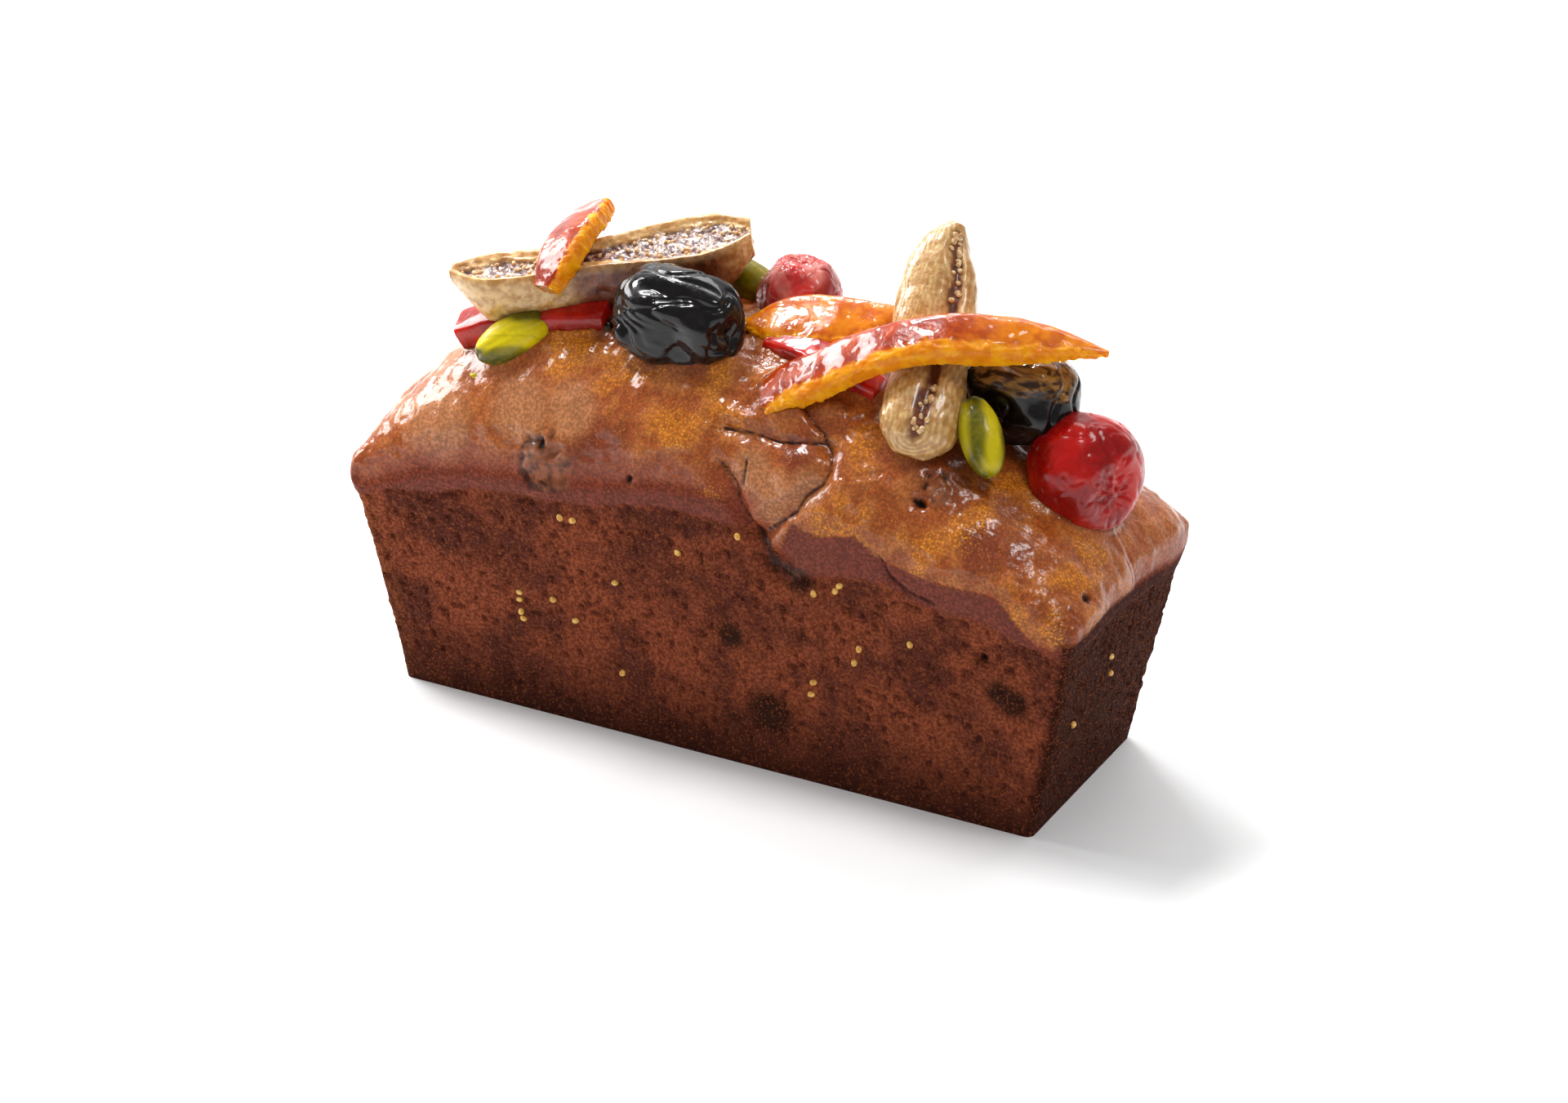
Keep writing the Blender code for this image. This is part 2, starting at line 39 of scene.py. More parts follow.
# Loaf, as in the solid
BASE_LENGTH = 136.4
BASE_WIDTH = 45.4
TIN_RIM = 38.0
END_DRAFT = 0.192
SIDE_DRAFT = 0.09
LIP_LENGTH = 1.4
LIP_WIDTH = 0.7
LIP_RISE = 5.0
CORNER = 1.6
SHOULDER_END = 46.5
SHOULDER_MIDDLE = 54.5
CREST = 81.3
LEFT_FALL = 2.74
RIGHT_FALL = 1.5
END_ROUND = 0.60
SECTION_FLAT = 2.7
SECTION_ROUND = 0.47
UNDULATION = 0.7
UNDULATION_SCALE = 17.0
MAIN_CRACK = ((17.8, -16.2, 75.1), (24.3, -20.4, 70.3), (25.4, -23.9, 65.2), (21.2, -25.7, 60.9),
              (13, -26.6, 52.6))
SIDE_CRACK = ((3, -22.5, 70), (14, -22.1, 69.8), (24.1, -20.8, 69.9))
PLATE_CRACK = ((3, -25, 64), (6.7, -26.2, 60), (11.8, -26.6, 52))
CRACK_WIDTH = 1.9
CRACK_DEPTH = 1.3
BUMPS = (
    ((-32.5, -26, 57), 6, 1.3),
    ((31, -26, 56.5), 9, 1.2),
    ((66, -26, 48), 5, 1.2),
    ((54, -26.2, 50.5), 7, 0.9),
    ((-8, -24.5, 64.5), 8, 0.8),
    ((-55, -22, 60), 8, 0.7),
    ((45, 24, 60), 8, 1),
    ((-20, 25, 60), 9, 1),
    ((76, 18, 44), 4, 1.2),
)
HOLLOWS = (
    ((16.6, -26.6, 46.5), 3.6, 2.2),
    ((58.6, -25.8, 36.9), 1.8, 1.2),
    ((43, -21.6, 64.2), 2.2, 1.5),
)

BOX_EASE = 0.6                  # how deep inside the solid's box the easing starts
BOX_MARGIN = 0.02

# Fine skin of the loaf
LENGTH_CELLS = 300
WIDTH_CELLS = 150
WALL_RINGS = 60
# Heights of the glaze's edge and of the purple band's top, by x, and on the right end by y
FRONT_EDGE = ((-76, 39), (-69, 42.6), (-58, 44.7), (-43, 48.5), (-32, 48.9), (-24, 49.7), (-10, 52.6),
              (9, 53.6), (12, 52.6), (15, 44.9), (18, 43.2), (23, 46), (31, 47.4), (39, 48.2), (46, 45.6),
              (60, 45), (68, 42.2), (76, 40.5))
BAND_TOP = ((-76, 41.5), (-60, 49), (-42, 52.5), (-24, 54.5), (-9, 57.5), (6, 58.5), (11, 53.5), (16, 48),
            (20, 56.5), (25, 55.2), (33, 56.9), (38, 53.6), (48, 51.5), (62, 51), (66, 47.5), (70, 43.2),
            (76, 41.7))
RIGHT_EDGE = ((-28, 41), (-13, 42), (0, 41), (12, 39.5), (20, 38.8), (27, 38.5))
END_BAND = 3.2                  # height of the purple band on the ends
BACK_BAND = 5.0                 # and on the back
BACK_EDGE_LOW = 39.5            # height of the glaze's edge on the back, at the ends
BACK_EDGE_HIGH = 53.0           # and in the middle
END_START = 72.5                # past this the glaze's edge follows the end's line
END_LEAN = 0.19                 # how much the ends lean out, for their colours
GLAZE_STEP = 0.25               # the glaze stands this far off the walls
THICK_GLAZE = 0.55              # and this much more at the front right
RIPPLE_HEIGHT = 0.36
PORE_DEPTH = 0.55
PIT_DEPTH = 0.9
CLEFT_DEPTH = 0.6
FINE_CRACK_DEPTH = 0.7
FOOT_HEIGHT = 6.0               # the relief dies out below this
SYRUP_REACH = 3.0               # syrup climbs the dome this near the fruit
SYRUP_HEIGHT = 1.1
SYRUP_FALL = 0.9

# Sharp lines where the crust has split
FINE_CRACKS = (
    ((16.4, -16.6, 75.1), (19.5, -18.1, 73.3), (22.5, -19.3, 71.8), (24.4, -20.8, 69.8),
     (25.8, -22.9, 66.8), (24.8, -24.4, 64.1), (21.9, -25.5, 61.6), (20.7, -26.2, 58.6),
     (16.7, -26.6, 55), (13.9, -26.6, 52.5)),
    ((2.7, -22.6, 70.2), (9.5, -22.1, 70.4), (14.6, -22.2, 69.7), (20.7, -21.1, 70.2), (23.6, -20, 70.8)),
    ((3.3, -25.2, 64.2), (6.8, -25.9, 61.4), (8.3, -26.5, 57.3), (11.2, -26.6, 53.8), (12.4, -26.6, 51.7)),
    ((8.9, -24.6, 65.5), (8.8, -25.9, 61.1)),
    ((38.1, -26.6, 53.9), (39.7, -26.6, 50.1), (43.2, -26.6, 47.8), (49.3, -26.6, 46.6)),
)

# Loose bits on the crust: middle and half sizes
CRUMBS = (                      # of pistachio
    ((-51.6, -19.9, 67.6), (1.5, 0.9, 0.6)),
    ((-49.9, -20.4, 67.2), (1.2, 0.7, 0.5)),
    ((-51.3, -13.4, 73), (0.9, 0.6, 0.5)),
)
STICKY_BITS = (                 # dark fruit jelly round the left prune
    ((-26.8, -9, 79.9), (2, 1.6, 1.2)),
    ((-28.2, -10.6, 79), (1.7, 1.3, 1)),
    ((-25.6, -6.6, 80.8), (1.5, 1.9, 1.1)),
    ((0.6, -2.4, 81.6), (1.7, 1.4, 1.1)),
    ((-0.8, -4.6, 81.6), (1.4, 1.6, 1)),
    ((1.2, 0.4, 81.6), (1.5, 1.2, 0.9)),
)
RAISINS = (                     # under the glaze: middle, radius, height
    ((-32.2, -26.4, 56.9), 6.2, 0.6),
    ((46.7, -20, 64.4), 2.6, 0.7),
    ((46.2, -17.6, 66.4), 1.8, 0.5),
)
BIT_FACING = (0.3, -0.6, 0.74)
BIT_MASKS = {"green": 0.2, "torn": 0.35}
FAR = 5.0                       # gaps to cracks and pits are kept up to this
SLOPE = (0, -0.75, 0.66)        # the way the front slope faces; gaps are measured across it

# Marks on the crust: middle and radius of each, where not said otherwise
GOLD = (((31, -26, 58.6), 5), ((46.2, -26, 55.6), 6), ((53.3, -20.6, 61.6), 6), ((55.3, -11, 64.6), 6),
        ((58.2, 4.3, 63.7), 5), ((2.5, -20.5, 73.3), 5), ((-2.4, -17.8, 76.1), 5), ((2.3, -26.6, 57), 4),
        ((65.5, -26.5, 49.6), 4), ((73, -26.5, 47.3), 4), ((72, -10.6, 53.2), 5), ((-33.3, -15.8, 75.3), 7),
        ((-21.2, -18.5, 74.8), 7), ((72.4, -18.5, 51.8), 5), ((39.4, -6, 72.2), 6), ((29.9, -17.5, 71.5), 5),
        ((26.9, -26.2, 57.8), 4), ((-6.4, -23.2, 69.1), 6), ((10, 14, 78), 10), ((-45, 14, 72), 10),
        ((45, 20, 66), 9))
RED = (((-52.8, -26.6, 48), 8), ((-23.9, -26.5, 57), 7), ((-17.6, -25.2, 64), 6), ((-60, -26.5, 52), 7),
       ((56.7, -23.9, 57.1), 5), ((41.7, -14.2, 69.5), 6), ((7.5, -26.6, 55), 4), ((63.3, -20.4, 57.2), 5),
       ((19.1, -22.9, 68), 4), ((-30, 20, 66), 9), ((20, 22, 66), 9), ((62, 16, 58), 8))
# Paler patches: pale glaze, and on the left slope a painted sheen where the glaze shines
PALE_AND_SHEEN = (((15.5, -25.7, 61.6), 4.5), ((10.1, -25, 64.3), 4.5), ((22, -25.1, 62.9), 4), ((15, -26.5, 57), 3),
        ((-29.1, -23.4, 67.4), 6), ((-39.7, -23.7, 65.2), 7), ((-57.2, -24.7, 58.3), 8), ((-60, -10, 64), 9))
# Pits, sunk into the crust and painted near-black as the shade inside them
DARK = (((43.4, -22.1, 63.6), 1.9), ((43.2, -20, 65.8), 1.3), ((46, -17.4, 66.6), 1.5),
        ((42.9, -18.2, 67.1), 1.2), ((74.7, -18, 49.5), 1.6), ((70.1, -14, 54.6), 0.9),
        ((52.8, -18.9, 62.9), 0.6), ((-14.8, -26.5, 57.3), 1.1), ((58.6, -25.8, 36.9), 1.5),
        ((-33.6, -25.9, 60), 1.5))
SHADOWS = (                     # dark clefts and outlines: path and width
    (((-34.4, -25.8, 60.6), (-37.1, -25.9, 59.3), (-37.8, -26.2, 57.6), (-38, -26.5, 55.6),
      (-37.1, -26.6, 53.3), (-35.9, -26.6, 51.8)), 0.9),
    (((-35.9, -26.6, 51.6), (-34.1, -26.6, 51.9), (-31.9, -26.6, 52.1), (-29.2, -26.6, 53.2)), 1.2),
    (((12.7, -26.6, 52.1), (14.1, -26.6, 50.9), (15.1, -26.6, 49.1), (14.8, -26.6, 47),
      (16.1, -26.6, 45.8)), 1),
    (((18.2, -26.6, 45.7), (20.4, -26.6, 45.3), (22.3, -26.6, 45.4)), 1.7),
)
BEADS = (                       # thick drops of glaze: path, width and height
    (((48.8, -26.6, 51.4), (51.4, -26.5, 52.7), (55.4, -26.2, 53.2), (59.4, -26, 52.7),
      (62, -25.9, 52.3)), 1.5, 0.9),
    (((27.5, -23.6, 65.3), (29.3, -23.4, 65.2), (30.8, -23.8, 64.4), (32.1, -24.6, 62.5)), 1.2, 0.7),
    (((28, -19.3, 70.5), (29.6, -20.2, 69.3), (31.7, -19.7, 69.2)), 1, 0.5),
    (((-47.2, -24.7, 61.3), (-45.9, -25.5, 59.4), (-43.4, -26.1, 57.3)), 1.2, 0.5),
    (((1.5, -20.5, 73.6), (4.8, -21.5, 71.9), (8.7, -20.8, 72.5)), 1.3, 0.6),
)
GLINTS = (((4.5, -8, 80.4), 4), ((6.5, -21, 72.3), 4), ((22.5, -15, 74.8), 3), ((52, -23, 59), 4),
          ((11.7, -13.7, 77.6), 4), ((0.2, -22.6, 70.3), 3), ((-42, -25.4, 60), 2.5),
          ((60.5, -14, 61.4), 4), ((57.4, -25.4, 54.6), 4), ((63.8, -23, 55), 3),
          ((73.6, -24.4, 48.9), 3), ((67, -25.6, 50), 4), ((-2, -15, 77.6), 3),
          ((29, -17, 72.4), 3), ((33, -22, 66.6), 3), ((49, -16, 66.8), 3),
          ((69, -16, 55.3), 3), ((-24, -15, 76.5), 2), ((2, 0, 81.2), 4), ((58, -14, 63.5), 3),
          ((-36, 0, 79), 4), ((20, 16, 76), 5), ((-20, 20, 72), 4), ((52, 18, 68), 4))
STAINS = (((13.8, -23.8, 13), 5.5), ((5.9, -25.1, 28.6), 3), ((64.7, -25.1, 29.3), 3.5),
          ((21, -25.7, 44.5), 3.2), ((62.2, -25.2, 30.4), 3))
LUMPS = (                       # middle, radius, height
    ((42.4, -21, 65.2), 1.3, 0.6),
    ((65.4, -26.3, 49), 2.6, 0.8),
    ((73, -26, 47.6), 2.2, 0.8),
    ((35.9, -22.6, 65), 2.4, 0.6),
    ((26.2, -26.5, 57.6), 3.4, 0.8),
    ((-15, -20, 73.6), 3, 0.7),
    ((68.6, -26, 49.4), 2, 0.8),
    ((59, -26.3, 50.6), 2.4, 0.7),
)

# Candied fruit, as in the solids
UP = (0, 0, 1)
CHERRIES = (                    # middle, half sizes, way of the dimple, shift of the noise
    ("cherry_right", (66.4, 0.2, 65.5), (12.5, 11.3, 9.9), (0.86, -0.50, -0.05), 0),
    ("cherry_back", (1.8, 10.5, 83), (8.2, 8, 9.2), (0.1, 0.2, 1), 5),
)
DIMPLE_DEPTH = 0.15
DIMPLE_SIZE = 0.10
CHERRY_CREASE = 0.05
PRUNES = (                      # middle, half sizes, shift of the noise
    ("prune_right", (52.6, 1.6, 78.4), (10.8, 8.2, 9.2), 2),
    ("prune_left", (-12.4, -12, 85.2), (13, 8.2, 9.3), 7),
)
PRUNE_FOLDS = {                 # creases in the skin: path of directions, depth and width
    "prune_right": (),
    "prune_left": (
        (((-0.29, -0.57, 0.77), (0.24, -0.66, 0.71), (0.36, -0.85, 0.40), (0.25, -0.96, 0.05),
          (0.31, -0.80, -0.51)), 0.20, 0.24),
        (((0.59, -0.64, 0.49), (0.79, -0.61, 0.12), (0.96, -0.26, -0.06)), 0.12, 0.18),
    ),
}
PRUNE_SWELL = 0.10              # broad unevenness of a prune's skin
PRUNE_SQUARENESS = 2.6          # 2 is an ellipsoid, higher is boxier
PRUNE_CREASE = 0.05             # depth of its other creases
PRUNE_CREASE_WIDTH = 0.10
FLAP_PLACE = (-0.45, -0.85, -0.2)       # where the left prune has parallel wrinkles
FLAP_ACROSS = (0.6, 0, 0.8)             # and the way across them
FLAP_LINES = 32.0
PISTACHIO_HALF = (4.2, 3.9, 8)
PISTACHIOS = (                  # middle and long axis
    ("pistachio_left", (-45.7, -16.5, 75.9), (9.7, 8, 6.4)),
    ("pistachio_back", (-10.6, 13.2, 83.2), (12.3, -1, -3.6)),
    ("pistachio_right", (51.4, -13.4, 75.4), (-8, 7, 11.3)),
)
PISTACHIO_STRIPES = {           # way across the side that shows; then place across and greenness
    "pistachio_left": ((-0.2, 0.4, 0.9),
                       ((-1, 1), (-0.6, 0.7), (-0.4, 0), (-0.05, 0), (0, 0.5), (0.05, 0), (0.6, 0.1),
                        (0.85, 0.9))),
    "pistachio_back": ((0.9, 0.46, 0), ((-1, 1), (1, 0.8))),
    "pistachio_right": ((0.9, 0.46, 0),
                        ((-1, 0.7), (-0.7, 0.5), (-0.4, 1), (0, 0.9), (0.3, 0.25), (0.65, 0.2), (0.95, 0.9))),
}
SEAM_DEPTH = 0.07
LEFT_FIG_SPINE = ((-59.4, -15.5, 86.1), (-46.4, -11.5, 88), (-32.4, -5, 91), (-19.6, 1.8, 93.7),
                  (-7.8, 8.2, 96.2))
LEFT_FIG_FACING = (0.08, -0.1, 1)
LEFT_FIG_WIDTH = (3, 10.5, 10, 9.5, 11.5, 14.5, 14, 6)
LEFT_FIG_DEPTH = (2, 10.5, 12, 12.5, 12.5, 12, 10.5, 5)
FIG_RIM_HEIGHT = 0.9
FIG_RIM_WIDTH = 1.2
RIGHT_FIG_SPINE = ((39.6, -19.5, 71.5), (39.6, -15, 76.5), (37.6, -7, 82.5), (34.8, 1, 91),
                   (33, 8, 99.3), (34, 12, 104.6))
RIGHT_FIG_FACING = (0.15, -0.8, 0.6)
RIGHT_FIG_WIDTH = (6, 14.5, 15, 14, 15.6, 14.4, 9, 3)
RIGHT_FIG_DEPTH = (4, 10, 11, 10, 11, 11, 9, 4)
SLIT_PLACE = (-0.1, -0.15, -0.3, -0.5, -0.55, -0.45)
SLIT_WIDTH = 1.3
RIGHT_FIG_RUN = 45.0            # length of the spine
FIG_LINE_STEP = 0.95            # between the fine lines on the right fig
FIG_SEED_STAND = 0.1
SLIT_DEPTH = 1.6
BAR_SHARPNESS = 0.4
SKIN_FACING = (0, -0.5, 0.87)
PITH_EDGE = {                   # where the skin ends across a peel, from its middle (0) to its edge (1)
    "orange_strip_long": 0.6,
    "orange_strip_middle": 0.8,
    "orange_strip_short": 0.9,
}
PALE_FROM = {                   # share of the length where the skin turns from red to yellow
    "orange_strip_long": 0.5,
    "orange_strip_middle": -1,
}
BARS = (                        # node, look, spine, way its top faces, widths, depths, cup
    ("red_slab_left", "red_candy",
     ((-58.3, -11.2, 71.2), (-50.5, -10.6, 75.2), (-41, -9.6, 77.8), (-29, -8.4, 79.8)),
     (-0.1, -0.3, 1), (8, 9, 9, 7), (9, 9, 8, 7), 0),
    ("orange_strip_long", "peel",
     ((9, -18, 74.6), (13.6, -15.9, 78.6), (18.9, -14.8, 81.6), (26.4, -13.2, 86.3),
      (34, -12, 89.8), (41, -9.2, 91.4), (48, -6, 91.4), (55, -3, 91.3),
      (62, -0.6, 91), (69.2, 2.4, 89.8)),
     SKIN_FACING, (7.4, 9.4, 9.6, 9.2, 9, 9.2, 9.6, 8.4, 5.4, 0.8),
     (3.6, 4.4, 4.6, 4.4, 4.4, 4.8, 5.2, 4.4, 3, 0.8), 0.4),
    ("orange_strip_middle", "peel",
     ((-2.4, -4, 82.8), (3, -3.5, 84), (9.5, -2, 84.8), (16, 0, 85.6), (22.5, 2.5, 86.2),
      (26.5, 4, 86.6)),
     SKIN_FACING, (2, 9, 12.5, 11, 8, 6), (2, 3.8, 4, 4, 3.6, 3), 0.6),
    ("orange_strip_short", "peel",
     ((-38.4, -16.5, 87.3), (-38, -12.8, 91.3), (-38.4, -7, 94.1), (-39, 0, 95.1),
      (-40.2, 6.2, 94.9)),
     (-0.35, -0.35, 0.87), (5.5, 8.6, 9, 8.8, 7.6), (3.6, 4.6, 4.6, 4.4, 3.4), 0.3),
    ("red_piece_middle", "red_candy",
     ((4.5, -6, 80.9), (13, -7.7, 80.9), (22, -8.9, 79.4), (28.5, -9.2, 77.8)),
     (0, -0.2, 1), (6, 7, 7, 5), (5, 6, 6, 4), 0),
)

# Fig seeds on the walls, as in the solid
SEED_LENGTH = 1.5
SEED_WIDTH = 1.2
SEED_STAND = 0.02
FRONT_SEEDS = (
    (-40.2, 26.6), (-40.3, 24.9), (-39.9, 22.4), (-39.5, 20.9), (-32.6, 26.9), (-27.9, 23.3), (-29.7, 46),
    (-27, 46), (-18.5, 34.3), (-18.1, 14), (8.4, 51), (-4.5, 44.4), (24.2, 42.6), (28.6, 44.2),
    (29.6, 45.6), (43.9, 36.5), (33.3, 32.8), (32.2, 29.5), (23.4, 22.8), (22.9, 20.1),
)
BACK_SEEDS = 10
END_SEEDS = 3
BACK_SEED_REACH = 58.0
END_SEED_REACH = 15.0
SEED_HEIGHTS = (10, 34)
SEED_DRAW = 11

# Numbers of the Mix node's colour sockets
MIX_COLOUR_A = 6
MIX_COLOUR_B = 7
MIX_COLOUR_RESULT = 2

# Studio: floor and lights in metres, power in watts
FLOOR_SIZE = 3.0
LIGHTS = (                      # name, place, aim, size, power
    ("softbox_left", (-1, 0.1, 0.55), (0, 0, 0.05), (0.7, 0.5), 13),
    ("softbox_top", (-0.5, 0.05, 1.1), (-0.05, 0, 0.08), (0.26, 0.22), 7),
    ("softbox_back", (0.1, 0.7, 1.1), (0, 0, 0.05), (0.8, 0.2), 3),
    ("softbox_crest", (-0.5, 0.65, 0.85), (0, 0, 0.08), (0.3, 0.2), 7),
    ("softbox_right", (0.5, -0.1, 1), (0, 0, 0.05), (0.3, 0.3), 3.5),
)
BACKDROP = (-0.45, 0.85, 0.2)   # the way to the brightest part of the studio
BACKDROP_EDGE = (0.3, 0.95)     # cosines of the angle from it, where the light is dim and bright
BACKDROP_LIGHT = (0.28, 1)

# Camera, fitted to the loaf's edges: place in millimetres, angles in degrees
CAMERA_PLACE = (406.05, -780.32, 477.67)
CAMERA_YAW = 27.252
CAMERA_ELEVATION = 26.778
CAMERA_ROLL = 0.458
CAMERA_LENS = 117.315
CAMERA_SENSOR = 36


def tone(red, green, blue):
    """A screen colour (0 to 255) as a linear colour."""
    parts = []
    for value in (red / 255, green / 255, blue / 255):
        parts.append(value / 12.92 if value <= 0.04045 else ((value + 0.055) / 1.055) ** 2.4)
    return tuple(parts)


def smooth(values):
    """0 to 1 with soft ends, for values from 0 to 1."""
    values = np.clip(values, 0.0, 1.0)
    return values * values * (3.0 - 2.0 * values)


def bell(gap, width):
    """1 where the gap is 0, falling softly to nothing at about twice the width."""
    return np.exp(-(gap / width) ** 2)


def field(points, size, shift, octaves=1):
    """Noise from about -1 to 1 at each point, with features of the given size."""
    offset = Vector((7.3 * shift, -3.1 * shift, 5.7 * shift))
    return np.array([noise.fractal(Vector(point) / size + offset, 1.0, 2.0, octaves) for point in points])


def ridges(values, sharpness):
    """Ridges of height 1 along the lines where a noise is 0."""
    return 1 - sharpness * np.abs(values)


def gap_to(points, middle):
    return np.linalg.norm(points - np.array(middle, float), axis=1)


def spots(points, places):
    """How deep each point lies in the nearest of several round patches, 0 to 1."""
    return np.max([bell(gap_to(points, middle), radius) for middle, radius in places], axis=0)


def path_gap(points, path):
    """Distance of each point from a path of straight pieces."""
    best = np.full(len(points), np.inf)
    for start, end in zip(np.array(path[:-1], float), np.array(path[1:], float)):
        run = end - start
        share = np.clip((points - start) @ run / (run @ run), 0, 1)
        best = np.minimum(best, np.linalg.norm(points - start - share[:, None] * run, axis=1))
    return best


def flattened(points):
    """The points with their offset along the front slope's outward way taken out."""
    outward = np.array(SLOPE)
    return points - (points @ outward)[:, None] * outward


def new_mesh(name, points, faces):
    mesh = bpy.data.meshes.new(name)
    mesh.from_pydata([tuple(point) for point in points], [], faces)
    mesh.validate()
    mesh.shade_smooth()
    return mesh


def mesh_from(bm, name):
    mesh = bpy.data.meshes.new(name)
    bm.to_mesh(mesh)
    bm.free()
    mesh.shade_smooth()
    return mesh


def search_tree(mesh):
    return BVHTree.FromPolygons([vert.co for vert in mesh.vertices],
                                [tuple(face.vertices) for face in mesh.polygons])


def get_points(mesh):
    flat = np.empty(len(mesh.vertices) * 3)
    mesh.vertices.foreach_get("co", flat)
    return flat.reshape(-1, 3)


def set_points(mesh, points):
    mesh.vertices.foreach_set("co", np.asarray(points, dtype=float).ravel())
    mesh.update()


def get_normals(mesh):
    flat = np.empty(len(mesh.vertices) * 3)
    mesh.vertex_normals.foreach_get("vector", flat)
    return flat.reshape(-1, 3)


def push_out(mesh, heights):
    """Move each vertex along its normal."""
    set_points(mesh, get_points(mesh) + get_normals(mesh) * heights[:, None])


def keep_inside(mesh, node, axes):
    """Ease the skin back where it would stand outside the solid's box, along the axes that hold 1."""
    low, high = (np.array(corner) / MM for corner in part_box(node))
    middle, half = (low + high) / 2, (high - low) / 2 - BOX_MARGIN
    offset = get_points(mesh) - middle
    over = np.maximum(np.abs(offset) - (half - BOX_EASE), 0) * axes
    eased = half - BOX_EASE + BOX_EASE * np.tanh(over / BOX_EASE)
    set_points(mesh, middle + np.where(over > 0, np.sign(offset) * eased, offset))


def set_mask(mesh, name, values):
    attribute = mesh.attributes.new(name, "FLOAT", "POINT")
    attribute.data.foreach_set("value", np.asarray(values, dtype=float))


def set_colours(mesh, name, colours):
    attribute = mesh.attributes.new(name, "FLOAT_COLOR", "POINT")
    filled = np.hstack([colours, np.ones((len(colours), 1))])
    attribute.data.foreach_set("color", filled.ravel())


def blend_colour(colours, colour, share):
    return colours + (np.array(colour) - colours) * share[:, None]


def layered(base, layers):
    """Colours of all points: a base tone with further tones laid over it, each by its share."""
    count = len(layers[0][1])
    colours = np.tile(np.array(tone(*base)), (count, 1))
    for shade, share in layers:
        colours = blend_colour(colours, tone(*shade), share)
    return colours


def add_piece(name, mesh, material, slot_name, *nodes):
    """Make the piece in metres, let it ride on the cake and stand for its nodes."""
    set_points(mesh, get_points(mesh) * MM)
    mesh.materials.append(material)
    piece = bpy.data.objects.new(name, mesh)
    bpy.context.scene.collection.objects.link(piece)
    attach(piece, "root")
    if nodes:
        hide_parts(*nodes)


def lip(z):
    """How far the crust has swelled over the tin's rim, 0 to 1."""
    return np.clip((z - TIN_RIM) / LIP_RISE, 0, 1)


def half_length(z):
    return BASE_LENGTH / 2 + END_DRAFT * np.minimum(z, TIN_RIM) + LIP_LENGTH * lip(z)


def half_width(z):
    return BASE_WIDTH / 2 + SIDE_DRAFT * np.minimum(z, TIN_RIM) + LIP_WIDTH * lip(z)


def arched(end, middle, s):
    return end + (middle - end) * (1.0 - s * s)


def dome_height(s, t):
    """Height of the dome at a place along (s) and across (t) it, each -1 to 1."""
    shoulder = arched(SHOULDER_END, SHOULDER_MIDDLE, s)
    fall = np.where(s < 0, LEFT_FALL, RIGHT_FALL)
    crest = SHOULDER_END + (CREST - SHOULDER_END) * np.maximum(1.0 - np.abs(s) ** fall, 0.0) ** END_ROUND
    return shoulder + (crest - shoulder) * np.maximum(1.0 - np.abs(t) ** SECTION_FLAT, 0.0) ** SECTION_ROUND


def round_corner(x, y, length, width):
    dx = np.abs(x) - (length - CORNER)
    dy = np.abs(y) - (width - CORNER)
    inside = (dx <= 0) | (dy <= 0)
    pull = np.where(inside, 1.0, np.maximum(dx, dy) / np.maximum(np.hypot(dx, dy), 1e-9))
    return (np.where(inside, x, np.copysign(length - CORNER + dx * pull, x)),
            np.where(inside, y, np.copysign(width - CORNER + dy * pull, y)))


def even_steps(curve, count):
    """Values from -1 to 1 that cut a curve into equal lengths."""
    fine = np.linspace(-1, 1, 4001)
    x, z = curve(fine)
    length = np.concatenate(([0], np.cumsum(np.hypot(np.diff(x), np.diff(z)))))
    return np.interp(np.linspace(0, length[-1], count + 1), length, fine)


def dome_grid():
    """Points of the dome, row by row across it, and each point's place along and across it (-1 to 1)."""
    length, width = half_length(SHOULDER_END), half_width(SHOULDER_END)
    s_steps = even_steps(lambda s: (s * length, dome_height(s, np.zeros_like(s))), LENGTH_CELLS)
    t_steps = even_steps(lambda t: (t * width, dome_height(np.zeros_like(t), t)), WIDTH_CELLS)
    s, t = np.meshgrid(s_steps, t_steps, indexing="ij")
    x, y = round_corner(s * length, t * width, length, width)
    return np.stack([x, y, dome_height(s, t)], axis=-1).reshape(-1, 3), s.ravel(), t.ravel()


def dome_faces():
    row = WIDTH_CELLS + 1
    faces = []
    for i in range(LENGTH_CELLS):
        for a in range(i * row, i * row + WIDTH_CELLS):
            faces.append((a, a + row, a + row + 1, a + 1))
    return faces


def dome_edge():
    """Numbers of the points round the edge of the dome, in order."""
    row = WIDTH_CELLS + 1
    ring = [i * row for i in range(LENGTH_CELLS)]
    ring += [LENGTH_CELLS * row + j for j in range(WIDTH_CELLS)]
    ring += [i * row + WIDTH_CELLS for i in range(LENGTH_CELLS, 0, -1)]
    return ring + list(range(WIDTH_CELLS, 0, -1))


def loaf_grid():
    """Points and faces of the plain loaf, and each point's place along the length (-1 to 1)."""
    dome, s, t = dome_grid()
    faces = dome_faces()
    ring = dome_edge()
    ring_s, ring_t = s[ring], t[ring]
    points, places = [dome], [s]
    above = np.array(ring)
    for level in range(1, WALL_RINGS + 1):
        z = arched(SHOULDER_END, SHOULDER_MIDDLE, ring_s) * (1 - level / WALL_RINGS)
        x, y = round_corner(ring_s * half_length(z), ring_t * half_width(z), half_length(z), half_width(z))
        points.append(np.stack([x, y, z], axis=-1))
        places.append(ring_s)
        below = np.arange(len(ring)) + len(dome) + (level - 1) * len(ring)
        strip = np.stack([above, below, np.roll(below, -1), np.roll(above, -1)], axis=-1)
        faces += [tuple(face) for face in strip.tolist()]
        above = below
    faces.append(tuple(above[::-1].tolist()))
    return np.concatenate(points), faces, np.concatenate(places)


